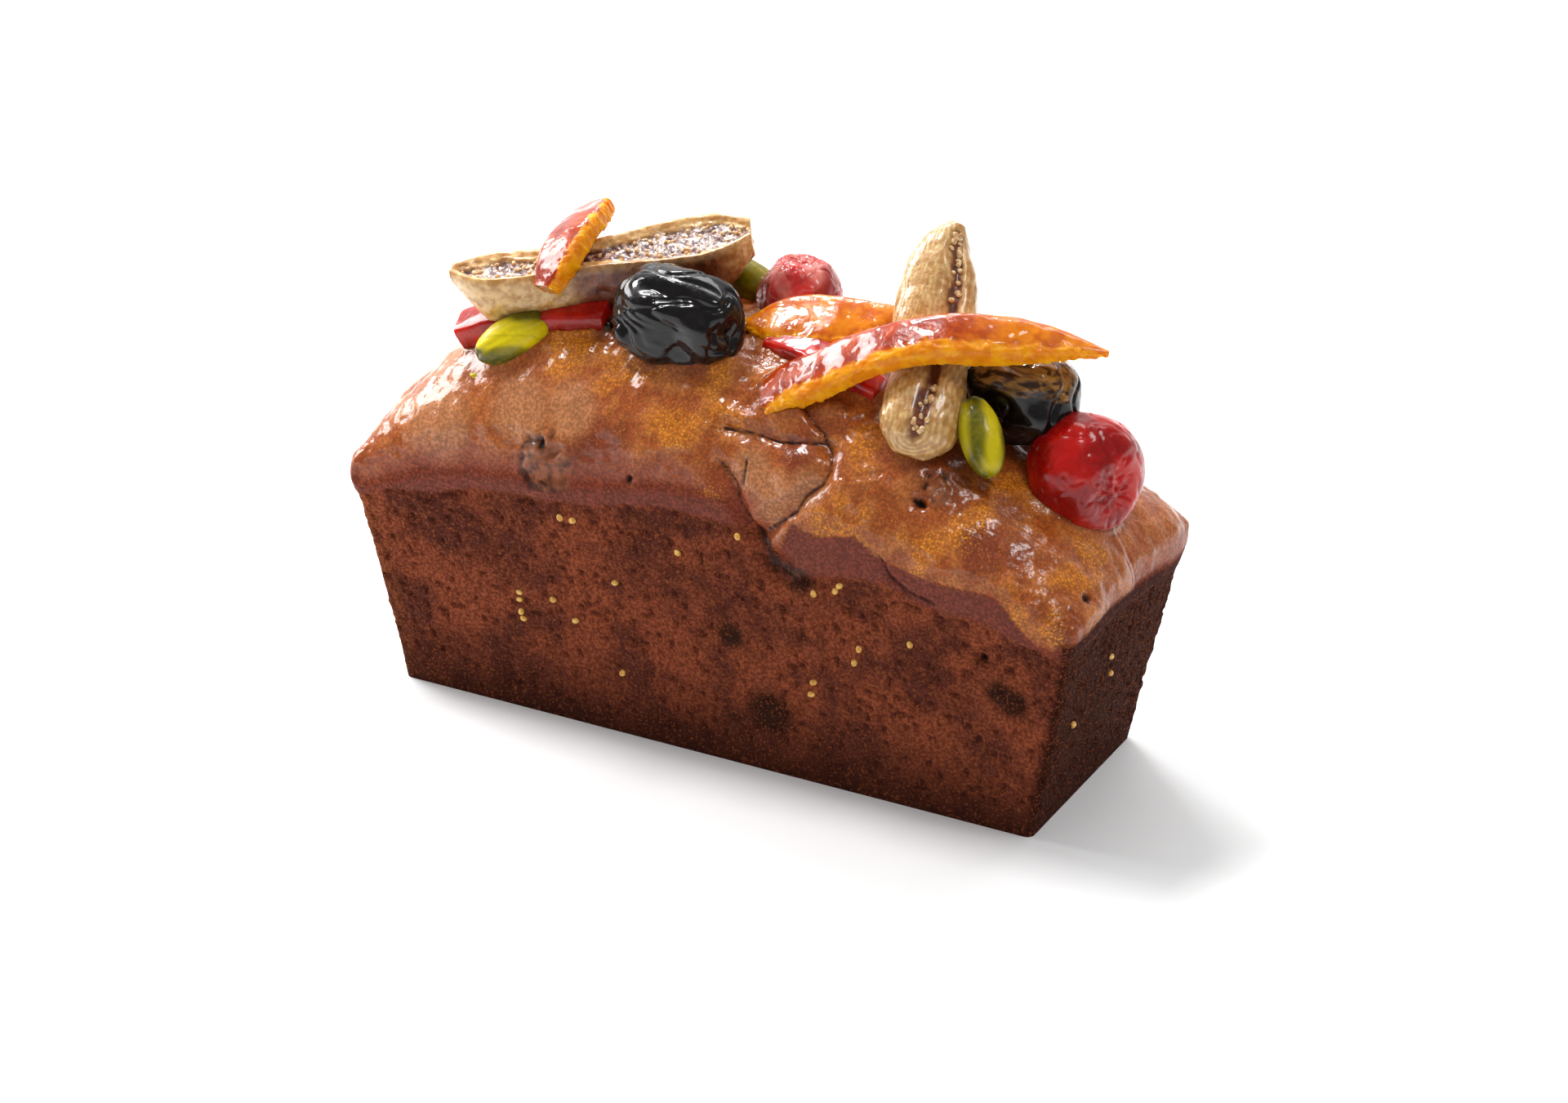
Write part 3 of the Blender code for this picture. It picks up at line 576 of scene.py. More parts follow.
def wall_lines(points, places):
    """Heights of the glaze's edge and of the purple band's top, at each point."""
    x, y = points[:, 0], points[:, 1]
    wander = field(points * (1, 1, 0), 6.0, 3, 2)
    front_share = smooth(0.5 - y / 20)
    right_share = smooth((x - END_START) / 2.5)
    left_share = smooth((-x - END_START) / 2.5)
    back = arched(BACK_EDGE_LOW, BACK_EDGE_HIGH, places) + 1.2 * wander
    edge = back + (np.interp(x, *zip(*FRONT_EDGE)) - back) * front_share
    edge += (np.interp(y, *zip(*RIGHT_EDGE)) - edge) * right_share
    edge += (BACK_EDGE_LOW + wander - edge) * left_share
    band = np.interp(x, *zip(*BAND_TOP))
    top = back + BACK_BAND + (band - back - BACK_BAND) * front_share
    top += (edge + END_BAND - top) * np.maximum(left_share, right_share)
    return edge + 0.5 * wander, top + 0.4 * wander


def coarse_relief(points):
    """What the solid has too: undulation, split lines, bumps and hollows."""
    height = np.array([UNDULATION * noise.noise(Vector(point) / UNDULATION_SCALE) for point in points])
    for path in (MAIN_CRACK, SIDE_CRACK, PLATE_CRACK):
        height -= CRACK_DEPTH * bell(path_gap(points, path), CRACK_WIDTH)
    for sign, places in ((1, BUMPS), (-1, HOLLOWS)):
        for middle, radius, size in places:
            height += sign * size * bell(gap_to(points, middle), radius)
    return height


def pooled_syrup(points, fruit):
    """Height of the syrup that climbs where the loaf meets the fruit."""
    height = np.zeros(len(points))
    for mesh in fruit:
        tree = search_tree(mesh)
        own = get_points(mesh)
        low, high = own.min(axis=0) - SYRUP_REACH, own.max(axis=0) + SYRUP_REACH
        near = np.where(np.all((points > low) & (points < high), axis=1))[0]
        for k in near:
            _, _, _, gap = tree.find_nearest(Vector(points[k]), SYRUP_REACH)
            if gap is not None:
                height[k] = max(height[k], SYRUP_HEIGHT * math.exp(-gap / SYRUP_FALL))
    return height


class LoafSkin:
    """The loaf's fine skin. Its zones, unevenness and marks are arrays with one number per point."""

    def __init__(self, fruit):
        self.points, faces, places = loaf_grid()
        self.z = self.points[:, 2]
        self.mesh = new_mesh("cake_loaf_skin", self.points, faces)
        self.find_zones(places)
        self.find_unevenness()
        self.find_marks()
        push_out(self.mesh, self.relief(fruit))
        keep_inside(self.mesh, "cake_loaf", (1, 1, 0))
        self.finish_surface()

    def find_zones(self, places):
        """Shares of wall, glazed crust, its purple band and its golden top."""
        edge, self.band_top = wall_lines(self.points, places)
        x, y, z = self.points.T
        self.front_right = smooth((x - 15) / 4) * (y < 0)
        softness = 5.0 - 4.4 * self.front_right
        self.glazed = smooth((z - edge) / 0.8 + 0.5)
        self.wall = 1 - self.glazed
        self.top = smooth((z - self.band_top) / softness + 0.5)
        self.band = self.glazed * (1 - self.top)
        self.end_band = smooth((x - 74) / 1.5) * smooth((self.band_top + 1.5 - z) / 2) * self.glazed

    def find_unevenness(self):
        points = self.points
        self.broad = field(points, 14.0, 1, 2)
        self.lumps = field(points, 4.5, 2, 3)
        self.fine = field(points, 1.5, 4, 3)
        self.grain = field(points, 0.8, 6, 2)
        self.pores = smooth((field(points * (1, 1, 1.7), 1.9, 5, 2) - 0.30) / 0.25)

    def find_marks(self):
        """Glints, gold, raisins, pits, clefts and fine cracks."""
        points, fine = self.points, self.fine
        self.wet = spots(points, GLINTS)
        self.gold = smooth(1.3 * spots(points, GOLD) + 0.7 * self.lumps - 0.35)
        self.raisins = [smooth(1.6 - 1.2 * gap_to(points, middle) / radius + 0.3 * fine)
                        for middle, radius, _ in RAISINS]
        pit_gaps = [gap_to(points, middle) * (1 + 0.5 * fine) - 0.6 * radius for middle, radius in DARK]
        self.pit_gap = np.minimum(np.min(pit_gaps, axis=0), FAR)
        clefts = [bell(path_gap(points, path) * (1 + 0.6 * fine), width) for path, width in SHADOWS]
        self.shadow = np.max(clefts, axis=0)
        flat = flattened(points)
        crack_gaps = [path_gap(flat, flattened(np.array(path))) for path in FINE_CRACKS]
        in_front = np.min(crack_gaps, axis=0) + FAR * (points[:, 1] > 0)
        self.crack_gap = np.minimum(in_front, FAR) + 0.35 * np.maximum(fine, 0)

    def relief(self, fruit):
        """Height of the skin over the plain loaf."""
        points, fine, lumps = self.points, self.fine, self.lumps
        ripples = np.clip(ridges(field(points, 2.2, 9, 2), 3), 0, 1)
        height = coarse_relief(points)
        height += GLAZE_STEP * self.glazed + THICK_GLAZE * self.top * self.front_right
        height += self.top * (0.35 * lumps + 0.09 * fine + RIPPLE_HEIGHT * self.wet * ripples)
        height += self.band * (0.12 * lumps + 0.03 * fine)
        height += self.wall * (0.22 * fine + 0.10 * self.grain - PORE_DEPTH * self.pores)
        for middle, radius, size in LUMPS:
            height += size * smooth(1.25 - gap_to(points, middle) / radius) * (1 + 0.6 * fine)
        wrinkled = ridges(field(points, 2.4, 7, 2), 3)
        for near, (_, _, size) in zip(self.raisins, RAISINS):
            height += near * size * wrinkled
        height -= PIT_DEPTH * smooth(0.5 - self.pit_gap / 0.8) + CLEFT_DEPTH * self.shadow
        for path, width, size in BEADS:
            height += size * bell(path_gap(points, path), width) * (1 + 0.4 * fine)
        height -= FINE_CRACK_DEPTH * bell(self.crack_gap, 0.5)
        height += self.top * pooled_syrup(points, fruit)
        return height * smooth(self.z / FOOT_HEIGHT)

    def top_colours(self):
        """Brown glaze, paler, golden or redder in patches, darker towards the purple band; the paler patches
        on the left slope are painted sheen.
        """
        points = self.points
        near_band = smooth(1 - (self.z - self.band_top) / 9) * (1 - self.front_right)
        return layered((172, 86, 32), (
            ((204, 124, 62), smooth(0.5 + 1.6 * self.lumps) * 0.6),
            ((210, 122, 26), self.gold * 0.7),
            ((132, 56, 28), smooth(1.4 * spots(points, RED) + self.broad - 0.2) * 0.8),
            ((196, 128, 82), smooth(1.8 * spots(points, PALE_AND_SHEEN) - 0.3)),
            ((152, 64, 36), near_band * 0.8),
            ((132, 60, 45), self.band)))

    def wall_colours(self):
        """Brown crumb, darker at stains and the foot, with painted shade in its pores and on the right end
        and painted light on the left end.
        """
        points, z = self.points, self.z
        left_end_light = smooth((-points[:, 0] - 62 - END_LEAN * z) / 5)
        right_end_shade = smooth((points[:, 0] - 66.2 - END_LEAN * z) / 1.6)
        streaks = smooth(2 * field(points * (1, 1, 0.3), 5.0, 8, 2))
        return layered((152, 78, 52), (
            ((94, 48, 38), smooth(0.42 + 1.1 * self.broad + 0.6 * self.lumps)),
            ((150, 80, 48), smooth(self.grain * 2.0 - 0.3) * 0.7),
            # painted shade: the pores, sunk into the wall, are painted darker
            ((56, 25, 19), self.pores * 0.8),
            # lighter orange-brown at the left end: partly crumb mottling, partly painted light where the end
            # faces the light
            ((150, 84, 50), left_end_light * smooth(0.5 + self.fine)),
            # painted shade: the right end, turned away from the light, painted near-black, with streaks
            ((30, 11, 4), right_end_shade * 0.95),
            ((42, 20, 10), right_end_shade * streaks * 0.8),
            ((40, 26, 18), smooth(1.6 * spots(points, STAINS) - 0.2)),
            ((48, 22, 18), smooth(1 - z / 20) * 0.85)))

    def finish_surface(self):
        """Colours and masks that the cake's material reads."""
        colours = blend_colour(self.top_colours(), self.wall_colours(), self.wall)
        colours = blend_colour(colours, tone(42, 26, 20), smooth(1.5 * self.shadow - 0.15) * 0.9)
        # painted shade: the purple band on the right end, painted dark like the shaded end below it
        colours = blend_colour(colours, tone(48, 24, 24), self.end_band)
        set_colours(self.mesh, "tint", colours)
        upward = smooth((get_normals(self.mesh)[:, 2] - 0.05) / 0.35)
        upward *= 1 - 0.5 * smooth((self.points[:, 0] - 70) / 4)
        gloss = np.maximum(self.top * (0.4 + 0.6 * upward), 0.3 * self.band) * (1 - 0.95 * self.end_band)
        raisin = np.max(self.raisins, axis=0)
        masks = {"glazed": gloss, "crack_gap": self.crack_gap, "pit_gap": self.pit_gap, "raisin": raisin,
                 "gold": self.gold * self.top, "wet": np.maximum(self.wet, raisin) * self.top}
        for name, values in masks.items():
            set_mask(self.mesh, name, values)


def along(values, u):
    """Smooth value at u from 0 to 1, through evenly spaced values."""
    place = u * (len(values) - 1)
    index = min(int(place), len(values) - 2)
    f = place - index
    before = values[max(index - 1, 0)]
    start, end = values[index], values[index + 1]
    after = values[min(index + 2, len(values) - 1)]
    return 0.5 * (2 * start + (end - before) * f + (2 * before - 5 * start + 4 * end - after) * f * f
                  + (3 * start - before - 3 * end + after) * f * f * f)


def halves(values, us):
    """Half the smooth value at each u."""
    return np.array([along(values, u) / 2 for u in us])


def spine_frame(spine, up, u):
    points = [Vector(point) for point in spine]
    centre = along(points, u)
    ahead = along(points, min(u + 0.02, 1.0)) - along(points, max(u - 0.02, 0.0))
    side = Vector(up).cross(ahead).normalized()
    return centre, side, ahead.cross(side).normalized()


def make_loft(name, spine, up, section, stations, around):
    """Loft sections along a spine. Also gives each point's u and its offsets across and above the spine."""
    points, us, offsets = [], [], []
    for i in range(stations):
        even = i / (stations - 1)
        u = 0.5 * even + 0.25 * (1.0 - math.cos(math.pi * even))
        centre, side, over = spine_frame(spine, up, u)
        for k in range(around):
            across, above = section(u, 2 * math.pi * k / around)
            points.append(centre + side * across + over * above)
            us.append(u)
            offsets.append((across, above))
    faces = []
    for i in range(stations - 1):
        for k in range(around):
            a, b = i * around + k, i * around + (k + 1) % around
            faces.append((a, b, b + around, a + around))
    faces.append(tuple(range(around))[::-1])
    faces.append(tuple(range((stations - 1) * around, stations * around)))
    return new_mesh(name, points, faces), np.array(us), np.array(offsets).T


def rounded(angle, half_across, half_above, sharpness):
    c, s = math.cos(angle), math.sin(angle)
    return (half_across * math.copysign(abs(c) ** sharpness, c),
            half_above * math.copysign(abs(s) ** sharpness, s))


def bar_section(widths, depths, cup):
    def section(u, angle):
        half = along(widths, u) / 2
        across, above = rounded(angle, half, along(depths, u) / 2, BAR_SHARPNESS)
        return across, above - cup * (across / max(half, 0.1)) ** 2
    return section


def left_fig_section(u, angle):
    half = along(LEFT_FIG_WIDTH, u) / 2
    c, s = math.cos(angle), math.sin(angle)
    across = half * math.copysign(abs(c) ** 0.85, c)
    if s >= 0:
        return across, FIG_RIM_HEIGHT * bell(abs(across) - half, FIG_RIM_WIDTH)
    return across, -along(LEFT_FIG_DEPTH, u) * abs(s) ** 0.8


def slit_open(u):
    """How far the right fig's slit is open along its length, 0 to 1."""
    return smooth(u / 0.2) * smooth((1 - u) / 0.12)


def right_fig_section(u, angle):
    half, deep = along(RIGHT_FIG_WIDTH, u) / 2, along(RIGHT_FIG_DEPTH, u) / 2
    across, above = rounded(angle, half, deep, 0.9)
    if above > 0:
        above -= SLIT_DEPTH * slit_open(u) * bell(across - along(SLIT_PLACE, u) * half, SLIT_WIDTH)
    return across, above


def make_round_fruit(name, middle, half_sizes, pole, skin, segments, rings):
    """A sphere stretched to its half sizes and moved by its skin. Also gives the unit directions."""
    bm = bmesh.new()
    bmesh.ops.create_uvsphere(bm, u_segments=segments, v_segments=rings, radius=1.0)
    turn = Vector(UP).rotation_difference(Vector(pole).normalized())
    units = np.array([vert.co.normalized()[:] for vert in bm.verts])
    for vert in bm.verts:
        unit = vert.co.normalized()
        body = Vector([part * half for part, half in zip(unit, half_sizes)]) * skin(unit)
        vert.co = Vector(middle) + turn @ body
    return mesh_from(bm, name), units


def cherry_skin(shift):
    def skin(unit):
        dimple = DIMPLE_DEPTH * bell(1 - unit.z, DIMPLE_SIZE)
        crease = CHERRY_CREASE * noise.noise(unit * 1.6 + Vector((shift, 0, 0)))
        return 1.0 - dimple + crease
    return skin


def distance_to_path(point, path):
    best = math.inf
    for start, end in zip(path, path[1:]):
        a, b = Vector(start), Vector(end)
        share = min(max((point - a).dot(b - a) / (b - a).length_squared, 0.0), 1.0)
        best = min(best, (point - a - (b - a) * share).length)
    return best


def prune_skin(name, shift):
    def skin(unit):
        height = sum(abs(part) ** PRUNE_SQUARENESS for part in unit) ** (-1 / PRUNE_SQUARENESS)
        height += PRUNE_SWELL * noise.noise(unit * 1.5 + Vector((shift, 3.1, 0)))
        wander = noise.noise(unit * 1.25 + Vector((0, shift, 0)))
        height -= PRUNE_CREASE * bell(wander, PRUNE_CREASE_WIDTH)
        for path, depth, width in PRUNE_FOLDS[name]:
            height -= depth * bell(distance_to_path(unit, path), width)
        return height
    return skin


def pistachio_skin(unit):
    seam = SEAM_DEPTH * bell(unit.x, 0.16) * (1.0 if unit.y < 0 else 0.3)
    return 1.0 - seam - 0.05 * abs(unit.x * unit.y)


def make_cherries():
    meshes = {}
    for name, middle, half_sizes, pole, shift in CHERRIES:
        mesh, units = make_round_fruit(name + "_skin", middle, half_sizes, pole, cherry_skin(shift), 160, 100)
        dents = 0.3 * field(units, 0.5, 12 + shift, 2)
        creases = 0.25 * smooth(ridges(field(units, 0.45, 11 + shift, 2), 2.2) * 2 - 1.2)
        pole_folds = 0.5 * bell(1 - units[:, 2], 0.1) * field(units, 0.1, 15, 2)
        push_out(mesh, dents - creases + pole_folds)
        if name == "cherry_back":
            veins = bell(field(units, 0.6, 14, 1), 0.03)
            # Whitish veins, and a painted sheen: a broad whitish veil over the back cherry where the light
            # from behind glances off it
            set_mask(mesh, "veins_and_sheen", 0.08 + 0.5 * smooth(field(units, 0.5, 13, 2) + 0.4) + 0.3 * veins)
        meshes[name] = mesh
    return meshes


def flap_relief(units):
    """Parallel wrinkles on the left prune's flap and sharp folds over the rest."""
    flap = bell(gap_to(units, FLAP_PLACE), 0.42)
    lines = np.sin(FLAP_LINES * (units @ FLAP_ACROSS + 0.2 * field(units, 0.6, 23, 2)))
    folds = bell(field(units, 1.1, 24, 1), 0.06)
    return 0.22 * flap * lines - 0.35 * (1 - flap) * folds


def make_prunes():
    meshes = {}
    for name, middle, half_sizes, shift in PRUNES:
        skin = prune_skin(name, shift)
        mesh, units = make_round_fruit(name + "_skin", middle, half_sizes, UP, skin, 200, 120)
        height = 0.5 * field(units, 0.55, 20 + shift, 1)
        torn = np.zeros(len(units))
        if name == "prune_left":
            height += flap_relief(units)
        else:
            streaks = field(units * (0.5, 1, 1.6), 0.35, 22, 3)
            torn = smooth(2.6 * (units[:, 2] - 0.2 + 0.35 * streaks))
            height += torn * 0.35 * streaks
        push_out(mesh, height)
        set_mask(mesh, "torn", torn)
        meshes[name] = mesh
    return meshes


def make_pistachios():
    meshes = {}
    for name, middle, pole in PISTACHIOS:
        mesh, units = make_round_fruit(name + "_skin", middle, PISTACHIO_HALF, pole, pistachio_skin, 96, 64)
        push_out(mesh, 0.10 * field(units, 0.5, 30, 2))
        across, stripes = PISTACHIO_STRIPES[name]
        place = (get_points(mesh) - middle) @ across / PISTACHIO_HALF[0] + 0.15 * field(units, 0.6, 31, 2)
        green = np.interp(place, *zip(*stripes)) + 0.5 * smooth((np.abs(units[:, 2]) - 0.8) / 0.2)
        set_mask(mesh, "green", np.clip(green, 0, 1))
        meshes[name] = mesh
    return meshes


def make_left_fig():
    """Half a fig, cut side up: pulp inside a rim of wrinkled skin, dark on its underside."""
    mesh, u, (across, above) = make_loft("fig_half_left_skin", LEFT_FIG_SPINE, LEFT_FIG_FACING,
                                         left_fig_section, 170, 110)
    points = get_points(mesh)
    inward = halves(LEFT_FIG_WIDTH, u) - np.abs(across)
    front_lip = 1.6 * bell(u - 0.45, 0.16) * (across < 0)
    flesh = smooth((inward - 1.9 - front_lip + 0.7 * field(points, 3, 44, 2)) / 0.6) * (above > -0.05)
    pulp = 0.7 * field(points, 2.2, 40, 3) - 0.5
    wrinkle = 0.22 * ridges(field(points * (0.7, 1, 1), 3.4, 41, 3), 2.2)
    rim = bell(inward - 0.6, 0.8) * (above > -0.4)
    skin = wrinkle * (1 - rim) + rim * (0.35 + 0.3 * field(points, 5, 45, 2))
    push_out(mesh, flesh * pulp + (1 - flesh) * skin)
    set_mask(mesh, "flesh", flesh)
    past_rim = -inward - np.minimum(above, 0) + 1.3 * (across < 0)
    shade = smooth((u - 0.33) / 0.12) * smooth((0.97 - u) / 0.12) * smooth((past_rim - 0.6) / 1.5)
    set_mask(mesh, "shade", shade * (1 - flesh))
    return mesh


def make_right_fig():
    """A folded fig whose skin has fine lines round a ragged slit."""
    mesh, u, (across, above) = make_loft("fig_folded_right_skin", RIGHT_FIG_SPINE, RIGHT_FIG_FACING,
                                         right_fig_section, 180, 120)
    points = get_points(mesh)
    from_slit = across - 2 * halves(SLIT_PLACE, u) * halves(RIGHT_FIG_WIDTH, u)
    ragged = 1.15 + 0.8 * smooth((0.35 - u) / 0.1) + 0.6 * field(points, 2.5, 46, 2)
    slit = bell(from_slit, ragged) * slit_open(u) * (above > 0)
    past_slit = np.maximum((0.12 - u) * RIGHT_FIG_RUN, 0)
    rings = np.hypot(from_slit, past_slit) + 1.2 * field(points, 7, 42, 2)
    lines = np.sin(2 * math.pi * rings / FIG_LINE_STEP)
    push_out(mesh, (1 - slit) * (0.045 * lines + 0.3 * field(points * (1, 1, 0.6), 4.0, 43, 2)))
    keep_inside(mesh, "fig_folded_right", (0, 0, 1))
    set_mask(mesh, "flesh", smooth(slit * 2.2 - 0.5))
    set_mask(mesh, "slit", np.ones(len(u)))
    set_mask(mesh, "lines", smooth(0.5 - 0.8 * lines))
    return mesh


def make_figs():
    return {"fig_half_left": make_left_fig(), "fig_folded_right": make_right_fig()}


def make_bars():
    """Strips of peel, smooth on the skin and rough on the pith, and red candied pieces."""
    meshes = {}
    for number, (name, look, spine, facing, widths, depths, cup) in enumerate(BARS):
        mesh, u, (across, above) = make_loft(name + "_skin", spine, facing, bar_section(widths, depths, cup),
                                             200, 72)
        points = get_points(mesh)
        edge = across / np.maximum(halves(widths, u), 0.2) + 0.2 * field(points, 3.0, 53, 3)
        skin = smooth((above / np.maximum(halves(depths, u), 0.2) - 0.1) / 0.5)
        skin *= smooth((edge + PITH_EDGE.get(name, 2.0)) / 0.15)
        if look == "peel":
            height = skin * (0.26 * field(points, 4.0, 50 + number, 1) + 0.04 * field(points, 1.2, 54, 1))
            height += (1 - skin) * 0.35 * field(points, 1.2, 51 + number, 3)
        else:
            height = 0.15 * field(points, 3.0, 52 + number, 2)
        push_out(mesh, height)
        set_mask(mesh, "skin", skin)
        set_mask(mesh, "pale", smooth((u - PALE_FROM.get(name, 2.0)) / 0.35))
        meshes[name] = mesh
    return meshes


class Look:
    """A material with short ways to add and join its nodes."""

    def __init__(self, name):
        self.material = bpy.data.materials.new(name)
        self.material.use_nodes = True
        self.tree = self.material.node_tree
        self.shader = self.tree.nodes["Principled BSDF"]
        self.coordinates = self.tree.nodes.new("ShaderNodeTexCoord").outputs["Object"]

    def put(self, value, socket):
        if isinstance(value, bpy.types.NodeSocket):
            self.tree.links.new(value, socket)
        elif isinstance(value, tuple) and len(value) == 3 and socket.type == "RGBA":
            socket.default_value = (*value, 1.0)
        else:
            socket.default_value = value

    def set(self, **values):
        for name, value in values.items():
            self.put(value, self.shader.inputs[name.replace("_", " ")])

    def scatter(self, weight, radius, scale):
        """Light that passes below the surface; the scale is in millimetres."""
        self.set(Subsurface_Weight=weight, Subsurface_Radius=radius, Subsurface_Scale=scale * MM)

    def noise(self, size, detail=2.0, stretch=(1, 1, 1)):
        """Noise from 0 to 1 with features of about the given size in millimetres."""
        mapping = self.tree.nodes.new("ShaderNodeMapping")
        mapping.inputs["Scale"].default_value = stretch
        self.put(self.coordinates, mapping.inputs["Vector"])
        node = self.tree.nodes.new("ShaderNodeTexNoise")
        node.inputs["Scale"].default_value = 1 / (size * MM)
        node.inputs["Detail"].default_value = detail
        self.put(mapping.outputs["Vector"], node.inputs["Vector"])
        return node.outputs["Fac"]

    def cells(self, size):
        """Distance from the middles of small cells, 0 to about 1."""
        node = self.tree.nodes.new("ShaderNodeTexVoronoi")
        node.inputs["Scale"].default_value = 1 / (size * MM)
        self.put(self.coordinates, node.inputs["Vector"])
        return node.outputs["Distance"]

    def mask(self, name, output="Fac"):
        node = self.tree.nodes.new("ShaderNodeAttribute")
        node.attribute_name = name
        return node.outputs[output]

    def ramp(self, value, low, high, to_low=0.0, to_high=1.0):
        node = self.tree.nodes.new("ShaderNodeMapRange")
        node.interpolation_type = "SMOOTHSTEP"
        self.put(value, node.inputs["Value"])
        for place, number in zip(("From Min", "From Max", "To Min", "To Max"), (low, high, to_low, to_high)):
            self.put(number, node.inputs[place])
        return node.outputs["Result"]

    def math(self, operation, a, b):
        node = self.tree.nodes.new("ShaderNodeMath")
        node.operation = operation
        self.put(a, node.inputs[0])
        self.put(b, node.inputs[1])
        return node.outputs["Value"]

    def times(self, a, b):
        return self.math("MULTIPLY", a, b)

    def mix(self, share, a, b):
        node = self.tree.nodes.new("ShaderNodeMix")
        node.data_type = "RGBA"
        self.put(share, node.inputs["Factor"])
        self.put(a, node.inputs[MIX_COLOUR_A])
        self.put(b, node.inputs[MIX_COLOUR_B])
        return node.outputs[MIX_COLOUR_RESULT]

    def mottle(self, size, detail, low, high, a, b):
        """Two colours that blend where the noise passes from low to high."""
        return self.mix(self.ramp(self.noise(size, detail), low, high), a, b)

    def bump(self, height, distance, strength=1.0):
        node = self.tree.nodes.new("ShaderNodeBump")
        node.inputs["Distance"].default_value = distance * MM
        self.put(strength, node.inputs["Strength"])
        self.put(height, node.inputs["Height"])
        return node.outputs["Normal"]


def cake_colour(look, glazed, bare, pit, crack):
    """The loaf's painted tint with crumb, golden specks and raisins, and painted shade in its cracks and
    pits.
    """
    grain = look.cells(0.6)
    colour = look.mask("tint", "Color")
    dark_crumb = look.ramp(look.noise(0.6, 4.0), 0.42, 0.62, look.ramp(bare, 0, 1, 0.4, 0.6), 0.0)
    colour = look.mix(dark_crumb, colour, tone(66, 26, 14))
    light_crumb = look.times(look.ramp(look.noise(0.5, 4.0), 0.52, 0.7), look.times(bare, 0.42))
    colour = look.mix(light_crumb, colour, tone(176, 96, 52))
    specks = look.times(look.ramp(grain, 0.1, 0.4, 1.0, 0.0), look.ramp(look.noise(1.6), 0.4, 0.65))
    specks = look.times(specks, look.ramp(glazed, 0.3, 0.9, 0.0, 0.6))
    colour = look.mix(specks, colour, tone(212, 138, 66))
    shine = look.times(look.mask("gold"), look.ramp(grain, 0.1, 0.5, 0.8, 0.0))
    colour = look.mix(shine, colour, tone(246, 164, 40))
    fruit = look.mottle(2.8, 2.0, 0.34, 0.56, tone(60, 30, 16), tone(150, 88, 56))
    colour = look.mix(look.ramp(look.mask("raisin"), 0.3, 0.9, 0.0, 0.8), colour, fruit)
    # painted shade: the fine cracks and the pits are painted near-black
    colour = look.mix(crack, colour, tone(52, 22, 16))
    return look.mix(pit, colour, tone(20, 9, 8))


def cake_look():
    look = Look("cake")
    glazed = look.mask("glazed")
    bare = look.ramp(glazed, 0.1, 0.7, 1.0, 0.0)
    crack = look.ramp(look.mask("crack_gap"), 0.12, 0.55, 0.85, 0.0)
    pit = look.ramp(look.mask("pit_gap"), -0.3, 0.5, 1.0, 0.0)
    unbroken = look.math("SUBTRACT", 1.0, look.math("MAXIMUM", pit, crack))
    ripples = look.ramp(look.mask("wet"), 0.1, 0.8, 0.4, 1.0)
    look.set(Base_Color=cake_colour(look, glazed, bare, pit, crack), Specular_IOR_Level=0.08)
    look.set(Roughness=look.ramp(glazed, 0.1, 0.8, 0.9, 0.38))
    look.set(Normal=look.bump(look.noise(0.7, 4.0), 0.6, look.ramp(glazed, 0.0, 0.8, 1.0, 0.25)))
    look.set(Coat_Weight=look.times(look.ramp(glazed, 0.1, 0.7, 0.0, 0.85), unbroken), Coat_Roughness=0.04)
    look.set(Coat_Normal=look.bump(look.noise(1.7, 4.0), 0.45, ripples))
    look.scatter(0.15, (1.0, 0.4, 0.1), 1.5)
    return look.material


def candied_look(name, deep, bright, grain_size, gloss, radius):
    """Translucent candied fruit under a wet gloss."""
    look = Look(name)
    flesh = look.mottle(grain_size, 2.0, 0.35, 0.65, deep, bright)
    # The mask mixed in here paints the back cherry's whitish veins and a painted sheen over it
    look.set(Base_Color=look.mix(look.mask("veins_and_sheen"), flesh, tone(222, 150, 140)), Specular_IOR_Level=0.2)
    look.set(Roughness=look.ramp(look.noise(1.2), 0.4, 0.7, gloss, gloss + 0.15))
    look.set(Normal=look.bump(look.noise(1.0), 0.06, 0.6))
    look.set(Coat_Weight=0.38, Coat_Roughness=0.02)
    look.set(Coat_Normal=look.bump(look.noise(4.0, 1.0), 0.6, 0.5))
    look.scatter(0.6, radius, 3.0)
    return look.material


def peel_look():
    look = Look("peel")
    skin = look.mask("skin")
    mottle = look.ramp(look.noise(3.0), 0.35, 0.65)
    red_skin = look.mix(mottle, tone(146, 38, 2), tone(182, 66, 6))
    pale_skin = look.mix(mottle, tone(192, 92, 2), tone(220, 134, 10))
    pith = look.mix(mottle, tone(222, 130, 0), tone(238, 164, 8))
    look.set(Base_Color=look.mix(skin, pith, look.mix(look.mask("pale"), red_skin, pale_skin)))
    look.set(Roughness=look.ramp(skin, 0.2, 0.8, 0.4, 0.2), Specular_IOR_Level=0.2)
    look.set(Normal=look.bump(look.noise(0.9, 3.0), 0.2, look.ramp(skin, 0.2, 0.8, 1.0, 0.5)))
    look.set(Coat_Weight=look.ramp(skin, 0.2, 0.8, 0.2, 0.75), Coat_Roughness=0.02)
    look.set(Coat_Normal=look.bump(look.noise(4.5, 1.5), 1.3, 0.9))
    look.scatter(0.7, (1.0, 0.5, 0.1), 2.5)
    return look.material


